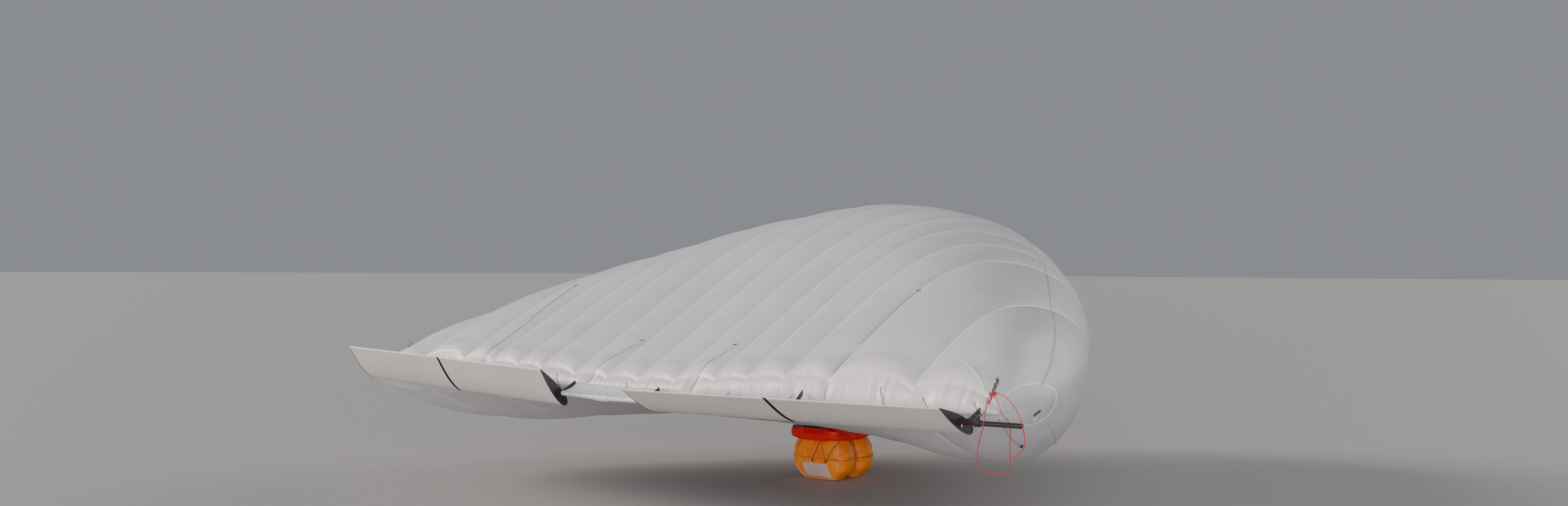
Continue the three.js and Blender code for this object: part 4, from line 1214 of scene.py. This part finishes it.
# part of the height, then half width and half depth there in metres
BAG_LEVELS = np.array([
    [0.00, 0.141, 0.070], [0.03, 0.156, 0.080], [0.21, 0.226, 0.106], [0.26, 0.236, 0.109],
    [0.46, 0.256, 0.113], [0.50, 0.258, 0.1135], [0.55, 0.256, 0.113], [0.70, 0.243, 0.110],
    [0.76, 0.236, 0.108], [0.97, 0.196, 0.086], [1.00, 0.190, 0.074],
])
BAG_POWER = 3.6  # of the superellipse that is its girth
BAG_AROUND = 144
BAG_ROWS = 46
BAG_CAPS = 9
SIM_FRAMES = 20


def superellipse(turn, half_x, half_y, power):
    return [half * np.sign(w) * np.abs(w) ** (2 / power)
            for half, w in ((half_x, np.cos(turn)), (half_y, np.sin(turn)))]


def even_turns(levels, power, count):
    """Turns that are evenly spaced along the widest girth."""
    dense = np.linspace(0, 2 * np.pi, 6000)
    x, y = superellipse(dense, levels[:, 1].max(), levels[:, 2].max(), power)
    run = np.concatenate([[0], np.cumsum(np.hypot(np.diff(x), np.diff(y)))])
    return np.interp(np.linspace(0, run[-1], count, endpoint=False), run, dense)


def pillow(name, centre, levels, height, power, counts, material):
    """A closed bag from its girth at each level, and the numbers of its points by ring, caps included."""
    around, rows, caps = counts
    turns = even_turns(levels, power, around)
    rings = []
    for part in np.linspace(0, 1, rows):
        half_x, half_y = (np.interp(part, levels[:, 0], levels[:, k]) for k in (1, 2))
        x, y = superellipse(turns, half_x, half_y, power)
        rings.append(np.stack([x, y, np.full(around, part * height)], 1))
    shares = np.linspace(0, 1, caps + 1)[1:-1]
    low_cap = [rings[0] * (s, s, 1) for s in shares]
    top_cap = [rings[-1] * (s, s, 1) for s in shares[::-1]]
    net = np.array(low_cap + rings + top_cap)
    verts = [*(net + centre).reshape(-1, 3), np.array(centre), np.array(centre) + (0, 0, height)]
    faces = [face[::-1] for face in grid_faces(len(net), around, close_columns=True)]
    index = np.arange(len(net) * around).reshape(len(net), around)
    first, last = index.size, index.size + 1
    for k in range(around):
        after = (k + 1) % around
        faces += [(k, first, after), (index[-1, k], index[-1, after], last)]
    return mend(make_object(name, verts, faces, material)), index


def inflate(obj, held, pressure, grow, cap):
    """Blows the cloth up; the held points and the poles stay, and no point goes further than cap."""
    start = coordinates(obj)
    group = obj.vertex_groups.new(name="held")
    group.add([*map(int, held), len(start) - 1, len(start) - 2], 1.0, "REPLACE")
    cloth = obj.modifiers.new("cloth", "CLOTH")
    settings = cloth.settings
    settings.quality = 8
    settings.mass = 0.2
    settings.tension_stiffness = 12
    settings.compression_stiffness = 12
    settings.shear_stiffness = 4
    settings.bending_stiffness = 0.03
    settings.use_pressure = True
    settings.uniform_pressure_force = pressure
    settings.shrink_min = -grow
    settings.vertex_group_mass = "held"
    settings.effector_weights.gravity = 0
    cloth.collision_settings.use_self_collision = False
    for f in range(1, SIM_FRAMES + 1):
        scene.frame_set(f)
    graph = bpy.context.evaluated_depsgraph_get()
    moved = np.array([v.co for v in obj.evaluated_get(graph).to_mesh().vertices])
    obj.evaluated_get(graph).to_mesh_clear()
    obj.modifiers.remove(cloth)
    obj.vertex_groups.remove(group)
    scene.frame_set(1)
    hop = moved - start
    hop *= np.minimum(1, cap / np.maximum(np.linalg.norm(hop, axis=1)[:, None], 1e-9))
    move_to(obj, start + hop)


def smoother(obj):
    """Adds one level of subdivision and keeps it as the mesh."""
    modifier = obj.modifiers.new("smooth", "SUBSURF")
    modifier.levels = modifier.render_levels = 1
    graph = bpy.context.evaluated_depsgraph_get()
    mesh = bpy.data.meshes.new_from_object(obj.evaluated_get(graph))
    obj.modifiers.clear()
    obj.data = mesh
    mesh.polygons.foreach_set("use_smooth", [True] * len(mesh.polygons))


def coordinates(obj):
    points = np.empty(len(obj.data.vertices) * 3)
    obj.data.vertices.foreach_get("co", points)
    return points.reshape(-1, 3)


def move_to(obj, points):
    obj.data.vertices.foreach_set("co", points.ravel())
    obj.data.update()


def seam_loop(name, obj, ring, radius, lift, material):
    """Piping along a ring of mesh points, lifted off the cloth."""
    points = coordinates(obj)[ring]
    path = points + unit((points - points.mean(0)) * (1, 1, 0)) * lift
    return tube_object(name, np.concatenate([path, path[:1]]), radius, material, 8)


# The corner of a bag's girth, aft and to starboard, and the one to port
bag_x, bag_y = superellipse(even_turns(BAG_LEVELS, BAG_POWER, BAG_AROUND), 1, 1, BAG_POWER)
corner = int(np.argmax(bag_x - bag_y))
CORNERS = (corner, (BAG_AROUND // 2 - corner) % BAG_AROUND)
bags = {}
for label, shift, aft_bulge, forward_bulge, finish in (("aft", 0.0, 0.012, 0, CORD_RUST),
                                                       ("forward", BAG_DEPTH, 0, 0.012, CORD_BROWN)):
    centre = craft_point(0, BAG_AFT_Y + shift, 0)
    bag, index = pillow("bag_" + label, centre, BAG_LEVELS, BAG_HEIGHT, BAG_POWER,
                        (BAG_AROUND, BAG_ROWS, BAG_CAPS), ORANGE)
    rows = index[BAG_CAPS - 1:][:BAG_ROWS]
    middle = rows[round((BAG_ROWS - 1) / 2)]
    points = coordinates(bag)
    nudge = 0.0012 * np.sin(points[:, 0] * 61 + points[:, 2] * 37 + shift * 9) * np.cos(points[:, 2] * 83)
    points[:, 1] += np.sign(points[:, 1] - centre[1]) * nudge * (points[:, 2] > 0.03) * (points[:, 2] < 0.30)
    move_to(bag, points)
    held = np.concatenate([index[:BAG_CAPS].ravel(), index[BAG_CAPS + BAG_ROWS - 2:].ravel(), middle])
    inflate(bag, held, pressure=3.0, grow=0.05, cap=0.016)
    points = coordinates(bag)
    points[:, 2] = np.clip(points[:, 2], 0.0, BAG_HEIGHT)
    half = BAG_DEPTH / 2 - GAP
    points[:, 1] = np.clip(points[:, 1], centre[1] - half - aft_bulge, centre[1] + half + forward_bulge)
    move_to(bag, points)
    attach(bag, "seam", bump(points[:, 2] - BAG_HEIGHT / 2, 0.004))
    settle(seam_loop("bag_cord_" + label, bag, middle, 0.0024, 0.0016, finish))
    settle(seam_loop("bag_hem_" + label, bag, rows[2], 0.0016, 0.0006, CORD_PINK))
    edge_seams = []
    for k in CORNERS:
        line = points[rows[1:-1, k]]
        away = unit((line - centre) * (1, 1, 0))
        edge_seams.append(cord("edge_seam", line + away * 0.0006, 90, 0.0017, CORD_AMBER))
    settle(join("bag_edge_seams_" + label, edge_seams))
    smoother(bag)
    settle(bag, "craft", "landing_bag_" + label, slot="cushion")
    bags[label] = bag

PAD_LOW, PAD_HIGH = BAG_HEIGHT + GAP, 0.408
PAD_THICK = PAD_HIGH - PAD_LOW
PAD_SEAT_X = 0.196  # the pad lies on the bags up to here, and past it its rim hangs
PAD_SEAT_Y = (2.182, 2.570)
PAD_HANG = 0.032
PAD_LEVELS = np.array([
    [0.0, 0.226, 0.236], [0.12, 0.238, 0.248], [0.3, 0.246, 0.256], [0.5, 0.250, 0.260], [0.7, 0.246, 0.256],
    [0.88, 0.238, 0.248], [1.0, 0.224, 0.234],
])
PAD_POWER = 5.0
PAD_AROUND = 168
PAD_ROWS = 15
PAD_CAPS = 14
pad, index = pillow("cushion_pad", craft_point(0, 2.360, PAD_LOW), PAD_LEVELS, PAD_THICK, PAD_POWER,
                    (PAD_AROUND, PAD_ROWS, PAD_CAPS), RED_CLOTH)
middle = index[PAD_CAPS - 1 + PAD_ROWS // 2]
points = coordinates(pad)
above = points[:, 2] > PAD_LOW + 0.01
points[:, 2] += 0.0008 * np.sin(points[:, 0] * 47) * np.cos(points[:, 1] * 53) * above
move_to(pad, points)
held = np.concatenate([index[:PAD_CAPS - 3].ravel(), index[PAD_CAPS + PAD_ROWS + 1:].ravel(), middle])
inflate(pad, held, pressure=3.5, grow=0.06, cap=0.014)
points = coordinates(pad)
points[:, 2] = np.clip(points[:, 2], PAD_LOW, PAD_HIGH)
past_x = np.abs(points[:, 0] - CENTRE_X) - PAD_SEAT_X
y = points[:, 1] - HINGE_Y
hang = np.clip(np.maximum(past_x, np.maximum(PAD_SEAT_Y[0] - y, y - PAD_SEAT_Y[1])) / 0.035, 0, 1) ** 0.6
points[:, 2] -= PAD_HANG * hang * np.clip((PAD_HIGH - points[:, 2]) / PAD_THICK, 0, 1)
move_to(pad, points)
attach(pad, "seam", bump(points[:, 2] - (PAD_LOW + PAD_HIGH) / 2, 0.003))
settle(seam_loop("pad_piping", pad, middle, 0.0028, 0.0006, RED_CLOTH))
smoother(pad)
settle(pad, "craft", "landing_pad", slot="pad")

# Lacing on the aft face of the aft bag; its places are from the craft's centreline and the floor


def tree_of(obj):
    return BVHTree.FromPolygons([v.co for v in obj.data.vertices], [p.vertices for p in obj.data.polygons])


aft_tree = tree_of(bags["aft"])
pad_tree = tree_of(pad)


def on_bag(x, z, lift=0.003, tree=aft_tree):
    """Point over the aft face of the bag or the pad."""
    place, normal, _, _ = tree.ray_cast(Vector(craft_point(x, 1.8, z)), Vector((0, 1, 0)))
    return np.array(place + normal * lift)


def laid(name, corners, radius, material):
    """A cord on the bag along straight stretches between its corners."""
    line = [on_bag(x0 + (x1 - x0) * s, z0 + (z1 - z0) * s)
            for (x0, z0), (x1, z1) in zip(corners[:-1], corners[1:])
            for s in np.linspace(0, 1, 7, endpoint=False)]
    return cord(name, line + [on_bag(*corners[-1])], 40, radius, material)


def eyelet(name, x, z):
    """A ring sewn flat on the bag."""
    centre = Vector(on_bag(x, z))
    _, normal, _, _ = aft_tree.find_nearest(centre)
    across = normal.cross(Vector((0, 0, 1))).normalized()
    axes = (across, across.cross(normal), normal)
    return torus_object(name, centre, axes, 0.0068, 0.0036, (24, 10), WINE_TAPE)


RING_X = (-0.023, 0.106)
RING_Z = 0.150
cords = [laid(name, corners, radius, material) for name, corners, radius, material in (
    ("lace_red_1", [(0.062, 0.318), (0.022, 0.235), (RING_X[0], RING_Z + 0.008)], 0.0042, ROPE_RED),
    ("lace_red_2", [(0.060, 0.318), (0.078, 0.240), (RING_X[1], RING_Z + 0.008)], 0.0030, CORD_WINE),
    ("lace_wine_1", [(-0.128, 0.322), (-0.138, 0.290), (-0.165, 0.236)], 0.0034, CORD_WINE),
    ("lace_wine_2", [(-0.152, 0.318), (-0.146, 0.270), (-0.165, 0.236)], 0.0024, CORD_WINE),
    ("lace_amber", [(0.205, 0.318), (0.165, 0.240), (RING_X[1] + 0.006, RING_Z + 0.006)], 0.0032, CORD_BROWN),
    ("hem_pink", [(-0.186, 0.118), (-0.150, 0.062), (-0.105, 0.022)], 0.0022, CORD_PINK),
    ("hem_red", [(0.120, 0.026), (0.150, 0.034), (0.184, 0.066)], 0.0022, CORD_PINK),
)]
cords += [eyelet("ring", x, RING_Z) for x in RING_X]
hook = [on_bag(-0.185 - 0.012 * math.sin(a), 0.128 + 0.012 * math.cos(a), 0.004)
        for a in np.linspace(0, 4.4, 12)]
cords.append(cord("bag_hook", hook, 24, 0.0024, ORANGE_PLASTIC))
settle(join("bag_lacing", cords))

low_left, low_right = np.array((-0.090, 0.024)), np.array((0.150, 0.022))
top_left, top_right = np.array((-0.128, 0.130)), np.array((0.118, 0.130))
rows = [[on_bag(*((low_left * (1 - a) + low_right * a) * (1 - b) + (top_left * (1 - a) + top_right * a) * b),
                0.0022) for a in np.linspace(0, 1, 34)] for b in np.linspace(0, 1, 14)]
settle(thicken(net_object("wear_patch", rows, PATCH), PATCH_THICK))
settle(laid("patch_seam", [(0.020, 0.024), (0.018, 0.075), (0.014, 0.129)], 0.0014, PATCH))

# Laces between pad and bag along the aft edge
ties = []
for k, x in enumerate(np.linspace(-0.20, 0.20, 9)):
    top = on_bag(x, PAD_LOW + 0.020, 0.002, pad_tree)
    low_end = on_bag(x + (0.012 if k % 2 else -0.012), BAG_HEIGHT - 0.026, 0.002)
    bend = (top + low_end) / 2 + (0, -0.004, 0)
    ties.append(cord("pad_tie", [top, bend, low_end], 12, 0.0018, CORD_WINE))
settle(join("pad_ties", ties))

# Small pieces at the starboard tip

tip_trees = [tree_of(bpy.data.objects["film_" + panel + "_starboard"]) for panel in ("tip", "nose", "lower")]


def on_tip(y, z, lift):
    """Point over the starboard tip film nearest to a place beside it."""
    beside = Vector(craft_point(2.870, y, z))
    hits = [tree.find_nearest(beside) for tree in tip_trees]
    place, normal = min(hits, key=lambda hit: hit[3])[:2]
    if normal.dot(beside - place) < 0:
        normal = -normal
    return np.array(place + normal * lift)


def tip_patch(name, centre, size, lean, material, lift):
    cos, sin = math.cos(lean), math.sin(lean)
    rows = [[on_tip(centre[0] + along * cos - up * sin, centre[1] + along * sin + up * cos, lift)
             for along in np.linspace(-0.5, 0.5, 11) * size[0]] for up in np.linspace(-0.5, 0.5, 7) * size[1]]
    settle(thicken(net_object(name, rows, material), PATCH_THICK))


tip_patch("tip_hook_strip", (0.507, 0.842), (0.072, 0.020), rad(22), WEBBING, 0.0014)
tip_patch("tip_pale_patch", (0.500, 0.798), (0.048, 0.028), rad(8), TAPE, 0.0012)

(fitting,), (fitting_out,) = skin([2.705], [2.228])
settle(join("tip_fitting", [
    tube_object("fitting", [fitting + fitting_out * d for d in ends], radius, BLACK, 28)
    for ends, radius in (((-0.002, 0.012), 0.0085), ((0.0005, 0.0035), 0.0125))
]))
wire, _ = skin([2.712, 2.722, 2.742, 2.760, 2.776, 2.785], [2.290, 2.400, 2.510, 2.623, 2.760, 2.880], 0.0035)
wire = [fitting + fitting_out * 0.008, *wire, craft_points((2800, 138, 903))]
settle(cord("tip_wire", wire, 90, 0.0011, CORD_GREY))

grey = craft_points([(2748, 168, 966), (2753, 148, 938), (2750, 126, 910), (2736, 116, 884), (2722, 118, 866),
                     (2709, 128, 858)])
settle(cord("tip_grey_cord", grey, 60, 0.0013, CORD_GREY))
a = round_turns(1.1, 44)
hoop = np.hstack([COLLAR_X * 1000 + 4 + 2.0 * np.sin(2 * a), 15.6 * np.cos(a), 840 + 15.6 * np.sin(a)])
settle(tube_object("rope_hitch", craft_points(hoop), 0.0022, ROPE_RED, 10))

# Keel plate, the gear on it, and the drive under its forward end

KEEL_Y = (2.040, 3.300)
KEEL_HALF = 0.150
KEEL_Z = (0.4083, 0.4143)
LAND_HALF = 0.130
LAND_Y = (2.680, 3.140)
LAND_Z = KEEL_Z[0] - 0.003
DECK = KEEL_Z[1] + GAP
BOX_TOP = DECK + 0.030
BOOM_Y = 3.200
BOOM_R = 0.008
BOOM_Z = KEEL_Z[0] - GAP - BOOM_R
CLAMP_LOW = BOOM_Z - 0.012
MOTOR_X = 0.450
MOTOR_R = 0.018
MOTOR_LENGTH = 0.078
MOTOR_BEHIND = 0.037


def rounded_plate(name, half, y_ends, z_ends, corner, material, rim=0.0012):
    """A flat plate with round corners and softened rims."""
    rings = []
    for z, inset in ((z_ends[0], rim), (z_ends[0] + rim, 0), (z_ends[1] - rim, 0), (z_ends[1], rim)):
        reach = corner - inset
        rings.append([
            craft_point(sx * (half - corner) + reach * math.cos(a), y - sy * corner + reach * math.sin(a), z)
            for k, (sx, sy, y) in enumerate(((1, 1, y_ends[1]), (-1, 1, y_ends[1]), (-1, -1, y_ends[0]),
                                             (1, -1, y_ends[0])))
            for a in np.linspace(k * np.pi / 2, (k + 1) * np.pi / 2, 10)
        ])
    return capped_object(name, rings, material, smooth=False)


def screws(xs, ys, z, sunk, proud, radius, sides=6):
    """Screw heads on a face; sunk and proud are negative under a face that looks down."""
    return [tube_object("screw", [craft_point(x, y, z + d) for d in (-sunk, proud)], radius, STEEL, sides)
            for x in xs for y in ys]


plate = rounded_plate("dressed_keel", KEEL_HALF, KEEL_Y, KEEL_Z, 0.030, CARBON)
land = rounded_plate("payload_land", LAND_HALF, LAND_Y, (LAND_Z, KEEL_Z[0] + 0.0004), 0.012, CARBON, 0.0006)
settle(join("dressed_keel", [plate, land]), "craft", "keel_plate", slot="carbon")
heads = screws((-0.118, 0.118), (2.695, 2.910, 3.125), LAND_Z, -0.0002, -0.0018, 0.0042)
heads += screws((-0.138, 0.138), (2.060, 3.280), KEEL_Z[1], 0.0002, 0.0020, 0.0042)
settle(join("keel_screws", heads))

battery = craft_block("pack_cells", (-0.060, 0.060), (2.640, 2.900), (DECK, DECK + 0.036), 0.006, BLUE_FILM)
settle(battery, "craft", "battery", slot="battery")
over = mirrored([(0.0645, 0.001), (0.0630, 0.020), (0.0600, 0.0362), (0.0540, 0.0376)])
over.insert(4, (0, 0.0378))
for k, y in enumerate((2.705, 2.835)):
    rows = [[craft_point(x, y + w, DECK + z) for x, z in over] for w in (-0.011, -0.0105, 0.0105, 0.011)]
    settle(thicken(net_object(f"pack_strap_{k}", rows, WEBBING), 0.0014))

cover = craft_block("dressed_box", (-0.050, 0.050), (2.060, 2.200), (DECK, BOX_TOP), 0.004, BLACK)
settle(cover, "craft", "control_box", slot="box")
details = [craft_block("rib", (x - 0.0015, x + 0.0015), (2.075, 2.185), (BOX_TOP - 0.0005, BOX_TOP + 0.0012),
                       0.0005, BLACK) for x in np.linspace(-0.032, 0.032, 7)]
details += screws((-0.040, 0.040), (2.068, 2.192), BOX_TOP, 0.0004, 0.0010, 0.0028, 12)
details += [craft_block("socket", (x - 0.006, x + 0.006), (2.1995, 2.2025), (DECK + 0.008, DECK + 0.018),
                        0.001, WHITE) for x in (-0.026, -0.006, 0.014)]
settle(join("box_details", details))

for where in ("aft", "forward"):
    low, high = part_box("belly_saddle_" + where)
    foam = block("foam_saddle_" + where, low, high, 0.006, FOAM)
    settle(foam, "craft", "belly_saddle_" + where, slot="foam")
    tapes = [block("saddle_tape", (low[0] + 0.004, y - 0.010, low[2] + 0.002),
                   (high[0] + 0.0008, y + 0.010, high[2] - 0.002), 0.0003, WEBBING)
             for y in (low[1] + 0.030, high[1] - 0.030)]
    settle(join("saddle_tape_" + where, tapes))

boom_half = MOTOR_X - MOTOR_R - GAP
boom = [craft_point(x, BOOM_Y, BOOM_Z) for x in np.linspace(-boom_half, boom_half, 9)]
settle(tube_object("dressed_boom", boom, BOOM_R, CARBON, 32), "craft", "motor_boom", slot="carbon")
clamps = []
for x in (-0.115, 0.115):
    clamps.append(craft_block("boom_clamp", (x - 0.009, x + 0.009), (BOOM_Y - 0.013, BOOM_Y + 0.013),
                              (CLAMP_LOW, KEEL_Z[0] - GAP), 0.003, BLACK))
    clamps += screws((x,), (BOOM_Y - 0.009, BOOM_Y + 0.009), CLAMP_LOW, -0.0004, -0.0018, 0.0024)
settle(join("boom_clamps", clamps))


def turned(name, profile, x, y, material):
    """A body turned about an axis along Y, from (radius, distance forward) pairs."""
    rows = [[craft_point(x + r * math.cos(a), y + d, BOOM_Z + r * math.sin(a)) for r, d in profile]
            for a in circle(64)]
    return sharpen(mend(net_object(name, rows, material, close_rows=True)), 35)


VENTS = 9
PROP_R = 0.112
PROP_CHORD = 0.024
PROP_THICK = 0.0030
PROP_REST = 20  # degrees, mirrored to port
HUB_R = 0.012
# part of the radius, chord as part of the widest, pitch in degrees
BLADE = np.array([[0.04, 0.70, 40], [0.12, 0.86, 35.5], [0.25, 1.00, 30], [0.42, 0.98, 25], [0.60, 0.90, 20],
                  [0.78, 0.75, 16.5], [0.90, 0.60, 14], [0.97, 0.42, 12.5], [1.00, 0.22, 12]])
# radius and distance forward
CAN = [(0, 0.0), (0.0095, 0.0), (0.0108, 0.0008), (0.0174, 0.0128), (MOTOR_R, 0.0146), (MOTOR_R, 0.0255),
       (0.0172, 0.0262), (0.0172, 0.0280), (MOTOR_R, 0.0287), (MOTOR_R, 0.0560), (0.0174, 0.0588),
       (0.0140, 0.0690), (0.0130, 0.0702), (0.0064, 0.0778), (0.0055, 0.0780), (0, 0.0780)]
CAN_RING = [(MOTOR_R - 0.001, 0.0240), (MOTOR_R + 0.0004, 0.0242), (MOTOR_R + 0.0004, 0.0252),
            (MOTOR_R - 0.001, 0.0254), (MOTOR_R - 0.001, 0.0240)]
HUB = [(0, -0.0020), (0.0040, -0.0020), (0.0112, -0.0003), (HUB_R, 0.0005), (HUB_R, 0.0098), (0.0116, 0.0112),
       (0.0104, 0.0150), (0.0086, 0.0196), (0.0060, 0.0232), (0.0030, 0.0254), (0, 0.0260)]


def blade_points(turn):
    """One blade as rings of a thin foil from hub to tip, turned about the hub's axis."""
    rings = []
    for reach, chord, pitch in BLADE:
        c, t = chord * PROP_CHORD / 2, PROP_THICK / 2 * (1.15 - 0.6 * reach)
        sin, cos = math.sin(rad(pitch)), math.cos(rad(pitch))
        foil = [(c * math.cos(a), t * math.sin(a) * (1.25 - 0.55 * math.cos(a))) for a in circle(22)]
        rings.append([(reach * PROP_R, 0.006 + a * sin + b * cos, a * cos - b * sin) for a, b in foil])
    return np.array(rings) @ np.array(Matrix.Rotation(turn, 3, "Y")).T


for side, sign in SIDES.items():
    x = sign * MOTOR_X
    back = BOOM_Y - MOTOR_BEHIND
    settle(turned("motor_can_" + side, CAN, x, back, GUNMETAL), "craft", "motor_" + side, slot="motor")
    details = []
    for a in circle(VENTS):
        spoke = np.array((math.cos(a), 0, math.sin(a))) * (MOTOR_R - 0.0007)
        ends = [craft_point(x, back + y, BOOM_Z) + spoke for y in (0.0335, 0.0520)]
        details.append(tube_object("vent", ends, 0.0019, BLACK, 10))
    details.append(turned("motor_ring", CAN_RING, x, back, STEEL))
    settle(join("motor_details_" + side, details))
    hub_y = back + MOTOR_LENGTH + 0.0024
    pieces = [turned("hub", HUB, x, hub_y, PROP_BLACK)]
    for turn in (rad(PROP_REST * sign), rad(PROP_REST * sign) + np.pi):
        rings = blade_points(turn) + craft_point(x, hub_y, BOOM_Z)
        pieces.append(mend(capped_object("blade", rings, PROP_BLACK, smooth_caps=True)))
    propeller = join("dressed_propeller_" + side, pieces)
    settle(propeller, side + "_propeller", "propeller_" + side, slot="propeller")

# Carried-over nodes keep their shape and get their finish
NODE_FINISH = {
    "film": FILM, "flap": FLAP, "carbon": CARBON, "cushion": ORANGE, "pad": RED_CLOTH, "battery": BLACK,
    "box": BLACK, "foam": WHITE, "motor": BLACK, "propeller": BLACK, "sleeve": WHITE, "rope": ROPE_RED,
    "cord": CORD_GREY,
}
SLOT_OF = {part["node"]: part["material_slot"] for part in frame["record"]["subparts"]}
for name, node in frame["nodes"].items():
    node.data.materials.clear()
    node.data.materials.append(NODE_FINISH[SLOT_OF[name]])

# Floor and light

FLOOR_HALF = 400
FLOOR = plastic_material("floor", (0.40, 0.395, 0.39), 0.7, 0.04)
corners = [(x * FLOOR_HALF, y * FLOOR_HALF, 0) for x, y in ((-1, -1), (1, -1), (1, 1), (-1, 1))]
floor = make_object("floor", corners, [(0, 1, 2, 3)], FLOOR)


def sun_light(name, at, aim, angle, strength, colour):
    data = bpy.data.lights.new(name, "SUN")
    data.angle = angle
    data.energy = strength
    data.color = colour
    light = link_object(name, data)
    light.rotation_euler = (Vector(aim) - Vector(at)).to_track_quat("-Z", "Y").to_euler()


sun_light("key", (-11.0, -4.0, 5.6), (0, 0, 1.0), rad(22), 3.2, (1.0, 0.93, 0.86))
sun_light("back", (3.0, 10.0, 5.0), (0, 1, 1.2), rad(40), 1.0, (1.0, 0.90, 0.84))
sun_light("fill", (7.0, -10.0, 2.6), (0, -0.5, 0.4), rad(60), 1.1, (0.97, 0.96, 1.0))
sun_light("low", (4.6, -9.0, 0.9), (0, 0, 0.25), rad(30), 2.0, (1.0, 0.95, 0.90))

world = bpy.data.worlds.new("studio")
scene.world = world
world.use_nodes = True
sky = world.node_tree.nodes["Background"]
sky.inputs["Color"].default_value = (0.62, 0.64, 0.70, 1)
sky.inputs["Strength"].default_value = 0.42
